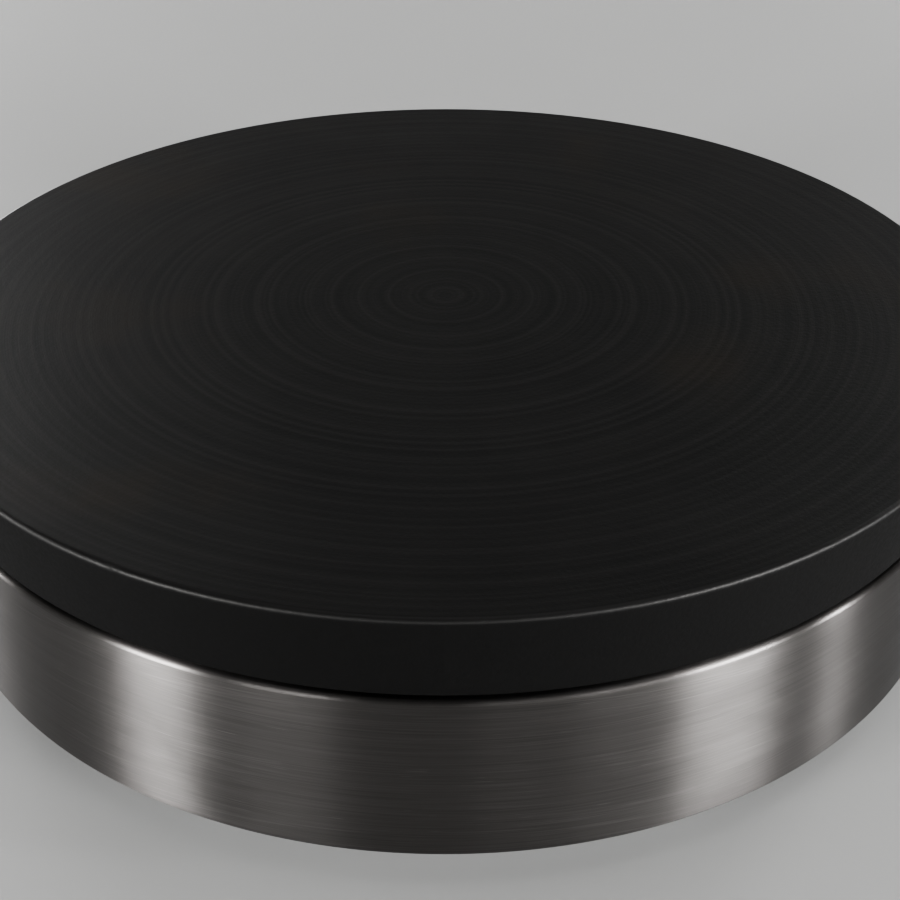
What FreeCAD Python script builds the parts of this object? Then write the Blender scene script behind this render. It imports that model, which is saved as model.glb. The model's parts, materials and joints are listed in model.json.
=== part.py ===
"""Electric crepe maker: a round cast-iron griddle plate on a brushed steel drum.

The sheathed heating element is clamped under the plate, over an insulated tray. The drum
carries the controls on its front, which faces -Y, and the cable gland at the rear.
Millimetres, +Z up. The origin is on the plate's axis, on the surface that the feet rest on.
"""
import FreeCAD
import Part

import math
import os

from FreeCAD import Vector

# Griddle plate
plate_diameter = 400.0
plate_side_height = 31.3
plate_thickness = 11.0
plate_rim_thickness = 8.0
plate_wall = 6.0
plate_side_inset = 4.5
plate_edge_radius = 2.0
plate_foot_radius = 1.0
plate_inner_fillet = 5.0
plate_gap = 1.2
boss_radius = 9.0
boss_height = 6.0
boss_bore_depth = 12.0

# Heating element and its clamps
element_diameter = 8.5
element_margin = 42.0
element_pitch = 30.0
element_loops = 4
element_half_gap = 34.0
element_bend_radius = 14.0
element_tail = 8.0
heater_land_margin = 9.0
clamp_bar_width = 18.0
clamp_bar_sheet = 2.0
clamp_bar_flange = 6.0
clamp_bar_overhang = 5.0
clamp_angles = (45.0, 135.0, 225.0, 315.0)
seal_length = 6.0
pin_radius = 2.0
pin_length = 10.0
pin_nut_across = 7.0
pin_nut_height = 3.0

# Insulation and tray
insulation_thickness = 17.5
insulation_gap = 1.5
tray_sheet = 1.0
tray_inset = 27.5
tray_bend = 3.0
tray_lip_clearance = 1.5
tray_screw_count = 6
tray_screw_radius = 2.0
tray_screw_head_radius = 3.5
tray_screw_length = 7.0
screw_head_height = 2.2

# Carrier studs between plate and tray
carrier_angles = (90.0, 210.0, 330.0)
carrier_stud_radius = 4.0
carrier_spacer_radius = 7.0
carrier_nut_across = 13.0
carrier_nut_height = 6.5
carrier_washer_radius = 8.5
carrier_washer_height = 1.6

# Clamp studs
clamp_stud_radius = 3.0
clamp_nut_across = 10.0
clamp_nut_height = 5.0
clamp_washer_radius = 6.0
clamp_washer_height = 1.2
stud_end_length = 1.5

# Casing drum
casing_shoulder = 1.0
casing_height = 63.0
casing_sheet = 1.2
casing_bend = 2.0
casing_top_lip = 16.0
casing_bottom_lip = 16.0

# Base plate
base_sheet = 2.0
base_inset = 5.0
base_screw_count = 8
base_screw_inset = 9.0
base_screw_radius = 2.0
base_screw_head_radius = 3.8
base_screw_length = 9.0
vent_count = 24
vent_inner_radius = 62.0
vent_length = 34.0
vent_width = 4.0
base_bead_radius = 112.0
base_bead_width = 9.0
base_bead_height = 2.0

# Levelling feet
foot_inset = 44.5
foot_pad_radius = 19.0
foot_pad_height = 6.0
foot_pad_top_radius = 16.0
foot_pad_floor = 1.8
foot_disc_radius = 8.0
foot_disc_height = 2.0
foot_neck_radius = 4.6
foot_stud_radius = 4.0
foot_collar_across = 13.0
foot_collar_height = 4.4
foot_nut_radius = 8.0
foot_nut_height = 8.0
foot_nut_flange = 1.5
foot_travel = 8.0
foot_running_gap = 0.3

# Control panel on the front
panel_stand = 5.5
panel_width = 124.0
panel_margin = 6.5
panel_wall = 2.5
panel_corner = 10.0
panel_edge_radius = 1.5
panel_boss_offset = 55.0
panel_boss_radius = 3.4
panel_screw_radius = 1.45
panel_screw_head_radius = 3.0
panel_screw_head_height = 2.0
panel_screw_reach = 7.0
window_width = 100.0
window_height = 36.0
window_corner = 3.0

# Thermostat and its knob
thermostat_width = 42.0
thermostat_height = 28.0
thermostat_depth = 30.0
thermostat_plate_width = 48.0
thermostat_plate_height = 24.0
thermostat_plate_sheet = 1.2
thermostat_bush_radius = 5.0
thermostat_screw_offset = 11.0
thermostat_screw_radius = 1.8
thermostat_screw_head_radius = 3.4
thermostat_screw_length = 8.0
shaft_radius = 3.0
shaft_flat = 1.5
shaft_reach = 12.0
shaft_seat = 12.0
knob_gap = 1.0
knob_height = 19.0
knob_radius = 17.0
knob_disc_height = 5.0
knob_bar_length = 31.0
knob_bar_width = 11.0
knob_bar_taper = 1.6
knob_off_angle = 135.0
knob_wall = 1.8
knob_hub_radius = 5.5
knob_bore_spare = 0.5
knob_line_width = 1.4
knob_line_length = 11.0
knob_line_depth = 0.6
bulb_radius = 3.0
bulb_length = 80.0
bulb_clip_width = 12.0
bulb_clip_sheet = 1.5
bulb_clip_screw_radius = 2.0
bulb_clip_screw_length = 9.0
capillary_diameter = 2.0

# Rocker switch
switch_offset = 37.0
switch_width = 22.0
switch_height = 28.0
switch_depth = 24.0
switch_wall = 1.6
bezel_overhang = 1.6
bezel_height = 2.0
rocker_pivot_depth = 3.5
rocker_throw = 20.0
rocker_tip_proud = 5.6
rocker_valley_proud = 3.8
rocker_root_depth = 5.0
rocker_root_half = 6.0
rocker_root_room = 2.5
rocker_end_depth = 2.0
rocker_side_clearance = 0.3
rocker_pin_radius = 1.6
rocker_pin_length = 1.2

# Pilot lamps
lamp_offset = 37.0
lamp_half_spacing = 9.0
lamp_lens_radius = 4.0
lamp_flange_radius = 5.5
lamp_flange_height = 1.2
lamp_dome_height = 3.0
lamp_stem_length = 6.0
lamp_body_radius = 5.5
lamp_body_length = 20.0

# Cable gland
gland_height = 20.0
gland_across = 24.0
gland_flange_height = 6.0
gland_thread_radius = 9.9
gland_inner_length = 11.0
gland_neck_radius = 8.6
gland_neck_length = 9.0
gland_bore_radius = 7.3
gland_dome_length = 19.5
gland_dome_hex_length = 11.0
gland_dome_gap = 0.6
gland_dome_round = 5.5
gland_mouth_radius = 5.8
gland_locknut_across = 26.0
gland_locknut_height = 5.0
seal_bore_radius = 5.0
seal_ring_length = 12.0

# Terminal block, cut-out and earth stud
block_bead_gap = 7.0
block_width = 44.0
block_depth = 22.0
block_height = 18.0
block_pole_pitch = 14.0
block_pole_radius = 3.2
block_pole_bore = 1.7
block_screw_spread = 5.5
pole_screw_radius = 1.5
block_screw_head_radius = 3.0
block_screw_radius = 1.5
cutout_angle = 202.5
cutout_boss_inset = 35.0
cutout_radius = 12.5
cutout_height = 8.0
cutout_flange_width = 40.0
cutout_flange_height = 12.0
cutout_flange_sheet = 1.0
cutout_screw_offset = 16.5
cutout_screw_radius = 1.5
earth_block_gap = 24.0
earth_set_back = 6.5
earth_stud_radius = 2.5
earth_stud_height = 16.0
earth_foot_height = 1.0
earth_nut_across = 8.0
earth_nut_height = 4.0
earth_lug_half = 4.5
earth_lug_length = 16.0

# Spade tabs and wires
tab_width = 6.3
tab_sheet = 0.8
tab_length = 8.0
wire_diameter = 3.0
wire_lift = 8.0
wire_entry = 5.0
wire_crown = 18.0
wire_tab_run = 20.0
wire_tab_sweep = 34.0
live_block_run = 60.0
neutral_block_run = 44.0
earth_block_run = 22.0
wire_crossing = 55.0
wire_side_slack = 6.0
earth_wire_rise = 4.0
lug_crimp_inset = 2.0
pin_wire_sweep = 16.0
return_wire_x = 20.0
return_wire_y = 100.0
switch_tab_half = 5.5
switch_tab_rise = 8.0
thermostat_tab_half = 12.0
cutout_tab_half = 6.0

# Clearances shared by the fits
running_clearance = 0.05
hole_clearance = 0.4
seat_clearance = 0.05
insulation_clearance = 0.6

# Heights, from the surface up
casing_bottom_z = foot_pad_height + 2 * foot_running_gap + foot_collar_height + base_sheet
casing_top_z = casing_bottom_z + casing_height
base_top_z = casing_bottom_z
base_bottom_z = casing_bottom_z - base_sheet
plate_bottom_z = casing_top_z + plate_gap
plate_top_z = plate_bottom_z + plate_side_height
plate_under_z = plate_top_z - plate_thickness
boss_bottom_z = plate_under_z - boss_height
boss_bore_top_z = boss_bottom_z + boss_bore_depth
element_z = plate_under_z - element_diameter / 2
clamp_top_z = plate_under_z - element_diameter
clamp_web_bottom_z = clamp_top_z - clamp_bar_sheet
clamp_nut_bottom_z = clamp_web_bottom_z - clamp_washer_height - clamp_nut_height
clamp_stud_end_z = clamp_nut_bottom_z - stud_end_length
insulation_top_z = clamp_stud_end_z - insulation_gap
tray_floor_z = insulation_top_z - insulation_thickness
tray_bottom_z = tray_floor_z - tray_sheet
carrier_nut_bottom_z = tray_bottom_z - carrier_washer_height - carrier_nut_height
carrier_stud_end_z = carrier_nut_bottom_z - stud_end_length
control_z = (casing_bottom_z + casing_top_z) / 2
gland_z = casing_bottom_z + gland_height

# Radii from the axis
plate_radius = plate_diameter / 2
plate_bottom_radius = plate_radius - plate_side_inset
plate_inner_radius = plate_bottom_radius - plate_wall
casing_radius = plate_bottom_radius + casing_shoulder
casing_inner_radius = casing_radius - casing_sheet
element_radii = [plate_radius - element_margin - n * element_pitch for n in range(element_loops)]
boss_circle_radius = (element_radii[1] + element_radii[2]) / 2
heater_land_radius = element_radii[0] + heater_land_margin
tray_radius = casing_radius - tray_inset
tray_lip_radius = plate_inner_radius - tray_lip_clearance
tray_screw_circle = (casing_radius - casing_top_lip + tray_lip_radius) / 2
base_radius = casing_radius - base_inset
base_screw_circle = casing_radius - base_screw_inset
foot_circle_radius = casing_radius - foot_inset
cutout_circle_radius = boss_circle_radius - cutout_boss_inset
cutout_x = cutout_circle_radius * math.cos(math.radians(cutout_angle))
cutout_y = cutout_circle_radius * math.sin(math.radians(cutout_angle))
block_y = base_bead_radius + base_bead_width / 2 + block_bead_gap + block_depth / 2
earth_x = block_width / 2 + earth_block_gap
earth_y = block_y - earth_set_back

# Distances from the axis of what stands on the drum's front
panel_face = casing_radius + panel_stand
panel_inner_face = panel_face - panel_wall
panel_height = casing_height - 2 * panel_margin
thermostat_front = panel_inner_face - thermostat_plate_sheet
thermostat_back = thermostat_front - thermostat_depth
shaft_end = panel_face + shaft_reach
knob_back = panel_face + knob_gap
knob_front = knob_back + knob_height
switch_back = panel_face - switch_depth
switch_cavity_half = switch_height / 2 - switch_wall
rocker_axis_distance = panel_face + bezel_height - rocker_pivot_depth

# Distances from the axis of what stands on the drum's rear
gland_flange_face = casing_radius + gland_flange_height
gland_neck_end = gland_flange_face + gland_neck_length
gland_inner_end = casing_radius - gland_inner_length
gland_dome_end = gland_flange_face + gland_dome_length
gland_floor = gland_flange_face + 1.5

UP = Vector(0, 0, 1)


def cylinder(radius, bottom, top, x=0.0, y=0.0):
    """An upright cylinder from one height to another."""
    return Part.makeCylinder(radius, top - bottom, Vector(x, y, bottom), UP)


def ring(outer, inner, bottom, top, x=0.0, y=0.0):
    """An upright tube."""
    return cylinder(outer, bottom, top, x, y).cut(cylinder(inner, bottom, top, x, y))


def cone(bottom_radius, top_radius, bottom, top, x=0.0, y=0.0):
    """An upright truncated cone."""
    return Part.makeCone(bottom_radius, top_radius, top - bottom, Vector(x, y, bottom), UP)


def block(x0, x1, y0, y1, z0, z1):
    """A box between two corners."""
    return Part.makeBox(x1 - x0, y1 - y0, z1 - z0, Vector(x0, y0, z0))


def rounded_wire(corners, place):
    """A closed outline. Each corner is (u, v, radius), and place turns (u, v) into a point."""
    starts = []
    ends = []
    middles = []
    count = len(corners)
    for i, (u, v, radius) in enumerate(corners):
        corner = Vector(u, v, 0)
        before = Vector(*corners[i - 1][:2], 0)
        after = Vector(*corners[(i + 1) % count][:2], 0)
        to_before = (before - corner).normalize()
        to_after = (after - corner).normalize()
        half = to_before.getAngle(to_after) / 2
        reach = radius / math.tan(half)
        starts.append(corner + to_before * reach)
        ends.append(corner + to_after * reach)
        bisector = to_before + to_after
        if radius:
            bisector.normalize()
            middles.append(corner + bisector * (radius / math.sin(half) - radius))
        else:
            middles.append(corner)
    edges = []
    for i, corner in enumerate(corners):
        if corner[2]:
            arc = Part.Arc(place(starts[i]), place(middles[i]), place(ends[i]))
            edges.append(arc.toShape())
        following = starts[(i + 1) % count]
        if (following - ends[i]).Length > 1e-6:
            edges.append(Part.makeLine(place(ends[i]), place(following)))
    return Part.Wire(edges)


def turned(corners):
    """A solid of revolution about Z, from an outline of (radius, height, corner radius)."""
    wire = rounded_wire(corners, lambda p: Vector(p.x, 0, p.y))
    return Part.Face(wire).revolve(Vector(0, 0, 0), UP, 360)


def flat_outline(corners, height):
    """An outline of (x, y, corner radius) in a level plane."""
    return rounded_wire(corners, lambda p: Vector(p.x, p.y, height))


def slab(corners, bottom, top):
    """A level outline of (x, y, corner radius) made solid between two heights."""
    return Part.Face(flat_outline(corners, bottom)).extrude(Vector(0, 0, top - bottom))


def rectangle(width, height, corner=0.0, x=0.0, y=0.0):
    """The corners of a centred rectangle, all with one corner radius."""
    a = width / 2
    b = height / 2
    return [
        (x - a, y - b, corner),
        (x + a, y - b, corner),
        (x + a, y + b, corner),
        (x - a, y + b, corner),
    ]


def hexagon(across):
    """The corners of a hexagon of that width across its flats."""
    radius = across / math.sqrt(3)
    return [
        (radius * math.cos(math.radians(60 * n)), radius * math.sin(math.radians(60 * n)), 0)
        for n in range(6)
    ]


def hex_nut(across, bore, bottom, top, x=0.0, y=0.0):
    """A plain hexagonal nut with its bore."""
    nut = slab(hexagon(across), bottom, top).cut(cylinder(bore, bottom, top))
    return nut.translate(Vector(x, y, 0))


def polar(radius, degrees):
    """The point at that radius and angle from +X."""
    return (radius * math.cos(math.radians(degrees)), radius * math.sin(math.radians(degrees)))


def even_angles(count, first=0.0):
    """Angles spaced evenly round a circle."""
    return [first + 360.0 * n / count for n in range(count)]


def to_front(shape):
    """Places a shape drawn with +Z outward and +Y up on the front of the drum."""
    return shape.rotate(Vector(0, 0, 0), Vector(1, 0, 0), 90).translate(Vector(0, 0, control_z))


def to_rear(shape):
    """Places a shape drawn with +Z outward and -Y up on the rear of the drum."""
    return shape.rotate(Vector(0, 0, 0), Vector(1, 0, 0), -90).translate(Vector(0, 0, gland_z))


def drum_surface(radius):
    """The drum's cylinder, as seen in the frame of a shape drawn with +Z outward."""
    length = 2 * casing_height
    return Part.makeCylinder(radius, length, Vector(0, -length / 2, 0), Vector(0, 1, 0))


def bent_path(points):
    """Straight runs joined by tangent arcs, each as large as its two runs allow."""
    edges = []
    last = points[0]
    for before, corner, after in zip(points, points[1:], points[2:]):
        run_in = corner - before
        run_out = after - corner
        shorter = min(run_in.Length, run_out.Length)
        turn = run_in.getAngle(run_out)
        reach = 0.45 * shorter
        radius = reach / math.tan(turn / 2)
        start = corner - run_in.normalize() * reach
        end = corner + run_out.normalize() * reach
        inward = (start + end) * 0.5 - corner
        to_centre = inward.normalize() * (radius / math.cos(turn / 2))
        middle = corner + to_centre - inward.normalize() * radius
        edges.append(Part.makeLine(last, start))
        edges.append(Part.Arc(start, middle, end).toShape())
        last = end
    edges.append(Part.makeLine(last, points[-1]))
    return Part.Wire(edges)


def swept_tube(path, diameter):
    """A round solid that follows a path of lines and arcs."""
    start = path.Edges[0]
    profile = Part.Circle(start.valueAt(start.FirstParameter), start.tangentAt(start.FirstParameter),
                          diameter / 2).toShape()
    return path.makePipeShell([Part.Wire([profile])], True, True)


def boss_points(angles):
    """Where the plate's bosses stand, for studs at these angles."""
    return [polar(boss_circle_radius, angle) for angle in angles]


def capillary_riser():
    """Where the capillary tube passes up through tray and insulation."""
    return (0.0, -(bulb_start() + 9.0))


def bulb_start():
    """The outer end of the thermostat's bulb, as a distance from the axis."""
    return element_radii[0] - 23.0


def foot_points():
    """The centres of the four feet, by name."""
    names = ("front_left", "front_right", "rear_right", "rear_left")
    angles = (225.0, 315.0, 45.0, 135.0)
    return {name: polar(foot_circle_radius, angle) for name, angle in zip(names, angles)}


def griddle_plate():
    """The cast plate: a ground cooking disc with a drafted skirt and bosses beneath."""
    rim_under_z = plate_top_z - plate_rim_thickness
    body = turned([
        (0, plate_top_z, 0),
        (plate_radius, plate_top_z, plate_edge_radius),
        (plate_bottom_radius, plate_bottom_z, plate_foot_radius),
        (plate_inner_radius, plate_bottom_z, plate_foot_radius),
        (plate_inner_radius, rim_under_z, plate_inner_fillet),
        (heater_land_radius + plate_inner_fillet, rim_under_z, 0),
        (heater_land_radius, plate_under_z, 0),
        (0, plate_under_z, 0),
    ])
    bosses = [cone(boss_radius, boss_radius + 0.6, boss_bottom_z, plate_under_z, x, y)
              for x, y in boss_points(clamp_angles + carrier_angles)]
    clip_x, clip_y = bulb_clip_screw_point()
    bosses.append(cone(boss_radius * 0.6, boss_radius * 0.6 + 0.6,
                       plate_under_z - 2 * bulb_radius, plate_under_z, clip_x, clip_y))
    body = body.fuse(bosses)
    bores = [cylinder(clamp_stud_radius + seat_clearance, boss_bottom_z, boss_bore_top_z, x, y)
             for x, y in boss_points(clamp_angles)]
    bores += [cylinder(carrier_stud_radius + seat_clearance, boss_bottom_z, boss_bore_top_z, x, y)
              for x, y in boss_points(carrier_angles)]
    bores.append(cylinder(bulb_clip_screw_radius + seat_clearance,
                          plate_under_z - 2 * bulb_radius, plate_under_z + 3.0, clip_x, clip_y))
    return body.cut(bores).removeSplitter()


def element_path():
    """The element's centre line: loops joined by U-bends, with both ends turned down."""
    level = element_z

    def point(radius, degrees):
        x, y = polar(radius, degrees)
        return Vector(x, y, level)

    def arc(radius, first, last):
        middle = (first + last) / 2
        return Part.Arc(point(radius, first), point(radius, middle), point(radius, last)).toShape()

    def gap_angle(radius):
        return math.degrees(math.asin(element_half_gap / radius))

    outer = element_radii[0]
    inner = element_radii[-1]
    edges = []
    angle = 270 + gap_angle(outer) - 360
    going = 1
    bends = []
    for n, radius in enumerate(element_radii):
        if n + 1 < element_loops:
            middle_radius = radius - element_pitch / 2
            turn_gap = gap_angle(middle_radius)
        else:
            middle_radius = None
            turn_gap = gap_angle(inner)
        end = 270 - turn_gap if going > 0 else 270 + turn_gap - 360
        edges.append(arc(radius, angle, (angle + end) / 2))
        edges.append(arc(radius, (angle + end) / 2, end))
        if middle_radius:
            x, y = polar(1.0, end)
            along = Vector(-y, x, 0) * going
            tip = point(middle_radius, end) + along * (element_pitch / 2)
            bend = Part.Arc(point(radius, end), tip, point(radius - element_pitch, end)).toShape()
            edges.append(bend)
            bends.append(bend)
        angle = end
        going = -going
    return edges


def element_tail_edges(radius):
    """The end of a loop: a bend down to a straight vertical leg, listed from the loop out."""
    x, y = polar(radius, 270 + math.degrees(math.asin(element_half_gap / radius)))
    start = Vector(x, y, element_z)
    inward = Vector(y, -x, 0).normalize()
    half_root = math.sqrt(0.5)
    bend = element_bend_radius
    middle = start + inward * (bend * half_root) - UP * (bend * (1 - half_root))
    end = start + inward * bend - UP * bend
    leg_end = Vector(end.x, end.y, tray_bottom_z - element_tail)
    return [Part.Arc(start, middle, end).toShape(), Part.makeLine(end, leg_end)]


def element_leg_point(radius):
    """Where a loop's vertical leg stands."""
    end = element_tail_edges(radius)[1].Vertexes[1].Point
    return (end.x, end.y)


def bulb_clip_screw_point():
    """Where the clip of the thermostat's bulb is screwed to the plate."""
    return (-(bulb_radius + bulb_clip_width * 0.75), -(bulb_start() - bulb_length / 2))


def fastener(head, head_height, shank, length, seat_z, x, y, headed_up=True):
    """A pan-head screw whose head bears on a level seat."""
    away = 1 if headed_up else -1
    head_end = seat_z + away * head_height
    top = turned([
        (0, seat_z, 0),
        (head, seat_z, 0),
        (head, head_end, head_height * 0.45),
        (0, head_end, 0),
    ])
    low, high = sorted((seat_z, seat_z - away * length))
    return top.fuse(cylinder(shank, low, high)).translate(Vector(x, y, 0))


def group(solids):
    """Separate solids that share one node."""
    return Part.makeCompound(solids)


def chord_distance(radius, half_width):
    """How far from the axis a flat face of that half width meets a cylinder."""
    return math.sqrt(radius ** 2 - half_width ** 2)


def front_edges(shape, height):
    """The edges that lie wholly at one height."""
    return [edge for edge in shape.Edges
            if abs(edge.BoundBox.ZMin - height) < 1e-6 and abs(edge.BoundBox.ZMax - height) < 1e-6]


def heating_element():
    """The sheathed element: four loops and two legs as one unbroken tube."""
    edges = element_path()
    for radius in (element_radii[0], element_radii[-1]):
        edges += element_tail_edges(radius)
    path = Part.Wire(Part.__sortEdges__(edges))
    return swept_tube(path, element_diameter)


def element_leg_points():
    """Where the two legs stand."""
    return [element_leg_point(element_radii[0]), element_leg_point(element_radii[-1])]


def element_seals():
    """The ceramic beads that close the sheath at both ends."""
    top = tray_bottom_z - element_tail
    return group([ring(element_diameter / 2, pin_radius + seat_clearance, top - seal_length, top, x, y)
                  for x, y in element_leg_points()])


def element_pins():
    """The terminal pins below the beads."""
    top = tray_bottom_z - element_tail
    return group([cylinder(pin_radius, top - seal_length - pin_length, top, x, y)
                  for x, y in element_leg_points()])


def pin_nuts():
    """A nut on each pin, against its bead."""
    top = tray_bottom_z - element_tail - seal_length
    return group([hex_nut(pin_nut_across, pin_radius + seat_clearance, top - pin_nut_height, top, x, y)
                  for x, y in element_leg_points()])


def clamp_bars():
    """Channel bars across the loops, which press the element against the plate."""
    inner = element_radii[-1] - element_diameter / 2 - clamp_bar_overhang
    outer = element_radii[0] + element_diameter / 2 + clamp_bar_overhang
    half = clamp_bar_width / 2
    bars = []
    for angle in clamp_angles:
        bar = block(inner, outer, -half, half, clamp_top_z - clamp_bar_flange, clamp_top_z)
        hollow = block(inner - 1, outer + 1, clamp_bar_sheet - half, half - clamp_bar_sheet,
                       clamp_top_z - clamp_bar_flange - 1, clamp_web_bottom_z)
        hole = cylinder(clamp_stud_radius + hole_clearance, clamp_web_bottom_z - 1,
                        clamp_top_z + 1, boss_circle_radius, 0)
        bars.append(bar.cut([hollow, hole]).rotate(Vector(0, 0, 0), UP, angle))
    return group(bars)


def clamp_studs():
    """Studs screwed into the plate's bosses."""
    return group([cylinder(clamp_stud_radius, clamp_stud_end_z, boss_bore_top_z, x, y)
                  for x, y in boss_points(clamp_angles)])


def clamp_washers():
    """A washer under each clamp bar."""
    bottom = clamp_web_bottom_z - clamp_washer_height
    return group([ring(clamp_washer_radius, clamp_stud_radius + hole_clearance,
                       bottom, clamp_web_bottom_z, x, y)
                  for x, y in boss_points(clamp_angles)])


def clamp_nuts():
    """A nut under each washer."""
    return group([hex_nut(clamp_nut_across, clamp_stud_radius + seat_clearance, clamp_nut_bottom_z,
                          clamp_nut_bottom_z + clamp_nut_height, x, y)
                  for x, y in boss_points(clamp_angles)])


def carrier_studs():
    """The three studs that tie the plate to the tray."""
    return group([cylinder(carrier_stud_radius, carrier_stud_end_z, boss_bore_top_z, x, y)
                  for x, y in boss_points(carrier_angles)])


def carrier_spacers():
    """Tubes round the studs, which carry the plate on the tray."""
    return group([ring(carrier_spacer_radius, carrier_stud_radius + hole_clearance,
                       tray_floor_z, boss_bottom_z, x, y)
                  for x, y in boss_points(carrier_angles)])


def carrier_washers():
    """A washer under the tray at each stud."""
    return group([ring(carrier_washer_radius, carrier_stud_radius + hole_clearance,
                       tray_bottom_z - carrier_washer_height, tray_bottom_z, x, y)
                  for x, y in boss_points(carrier_angles)])


def carrier_nuts():
    """A nut under each of those washers."""
    return group([hex_nut(carrier_nut_across, carrier_stud_radius + seat_clearance,
                          carrier_nut_bottom_z, carrier_nut_bottom_z + carrier_nut_height, x, y)
                  for x, y in boss_points(carrier_angles)])


def insulation_pad():
    """The mineral-wool disc that fills the tray."""
    radius = tray_radius - tray_sheet - insulation_clearance
    pad = turned([
        (0, tray_floor_z, 0),
        (radius, tray_floor_z, tray_bend),
        (radius, insulation_top_z, 0),
        (0, insulation_top_z, 0),
    ])
    holes = [cylinder(carrier_spacer_radius + insulation_clearance,
                      tray_floor_z - 1, insulation_top_z + 1, x, y)
             for x, y in boss_points(carrier_angles)]
    leg_hole = element_diameter / 2 + insulation_clearance
    holes += [cylinder(leg_hole, tray_floor_z - 1, insulation_top_z + 1, x, y)
              for x, y in element_leg_points()]
    x, y = capillary_riser()
    holes.append(cylinder(capillary_diameter / 2 + insulation_clearance,
                          tray_floor_z - 1, insulation_top_z + 1, x, y))
    return pad.cut(holes)


def heater_tray():
    """The pressed tray: its lip lies on the drum's top flange."""
    lip_top = casing_top_z + tray_sheet
    tray = turned([
        (0, tray_bottom_z, 0),
        (tray_radius, tray_bottom_z, tray_bend),
        (tray_radius, casing_top_z, tray_bend - tray_sheet),
        (tray_lip_radius, casing_top_z, 0),
        (tray_lip_radius, lip_top, 0),
        (tray_radius - tray_sheet, lip_top, tray_bend),
        (tray_radius - tray_sheet, tray_floor_z, tray_bend - tray_sheet),
        (0, tray_floor_z, 0),
    ])
    holes = [cylinder(carrier_stud_radius + hole_clearance, tray_bottom_z - 1, tray_floor_z + 1, x, y)
             for x, y in boss_points(carrier_angles)]
    leg_hole = element_diameter / 2 + hole_clearance
    holes += [cylinder(leg_hole, tray_bottom_z - 1, tray_floor_z + 1, x, y)
              for x, y in element_leg_points()]
    x, y = capillary_riser()
    holes.append(cylinder(capillary_diameter / 2 + hole_clearance,
                          tray_bottom_z - 1, tray_floor_z + 1, x, y))
    holes += [cylinder(tray_screw_radius + hole_clearance, casing_top_z - 1, lip_top + 1, x, y)
              for x, y in tray_screw_points()]
    holes += [cylinder(cutout_screw_radius + seat_clearance, tray_bottom_z - 1, tray_floor_z + 1, x, y)
              for x, y in cutout_screw_points()]
    return tray.cut(holes)


def tray_screw_points():
    """Where the tray's lip is screwed to the drum."""
    return [polar(tray_screw_circle, angle) for angle in even_angles(tray_screw_count, 30.0)]


def tray_screws():
    """The screws through the tray's lip."""
    return group([fastener(tray_screw_head_radius, screw_head_height, tray_screw_radius,
                           tray_screw_length, casing_top_z + tray_sheet, x, y)
                  for x, y in tray_screw_points()])


def window(grow=0.0):
    """The opening in the drum behind the control panel."""
    corner = window_corner + grow
    return slab(rectangle(window_width + 2 * grow, window_height + 2 * grow, corner),
                casing_radius * 0.8, casing_radius * 1.1)


def radial(shape, angle):
    """Swings a shape drawn with +Z outward round the drum's axis."""
    return shape.rotate(Vector(0, 0, 0), Vector(0, 1, 0), angle)


def panel_boss_angles():
    """The angles of the panel's two screws, from the front."""
    angle = math.degrees(math.asin(panel_boss_offset / casing_radius))
    return (-angle, angle)


def casing_drum():
    """The drum: one rolled sheet with a flange turned in at the top and at the bottom."""
    top_lip = casing_radius - casing_top_lip
    bottom_lip = casing_radius - casing_bottom_lip
    drum = turned([
        (bottom_lip, casing_bottom_z, 0),
        (casing_radius, casing_bottom_z, casing_bend),
        (casing_radius, casing_top_z, casing_bend),
        (top_lip, casing_top_z, 0),
        (top_lip, casing_top_z - casing_sheet, 0),
        (casing_inner_radius, casing_top_z - casing_sheet, casing_bend - casing_sheet),
        (casing_inner_radius, casing_bottom_z + casing_sheet, casing_bend - casing_sheet),
        (bottom_lip, casing_bottom_z + casing_sheet, 0),
    ])
    cuts = [to_front(window())]
    for angle in panel_boss_angles():
        hole = cylinder(panel_screw_radius + hole_clearance, casing_radius * 0.9, casing_radius * 1.1)
        cuts.append(to_front(radial(hole, angle)))
    cuts.append(to_rear(cylinder(gland_thread_radius + hole_clearance,
                                 casing_radius * 0.9, casing_radius * 1.1)))
    cuts += [cylinder(tray_screw_radius + seat_clearance, casing_top_z - 2 * casing_sheet,
                      casing_top_z + 1, x, y)
             for x, y in tray_screw_points()]
    cuts += [cylinder(base_screw_radius + seat_clearance, casing_bottom_z - 1,
                      casing_bottom_z + 2 * casing_sheet, x, y)
             for x, y in base_screw_points()]
    return drum.cut(cuts)


def base_screw_points():
    """Where the base plate is screwed to the drum."""
    return [polar(base_screw_circle, angle) for angle in even_angles(base_screw_count, 22.5)]


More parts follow.
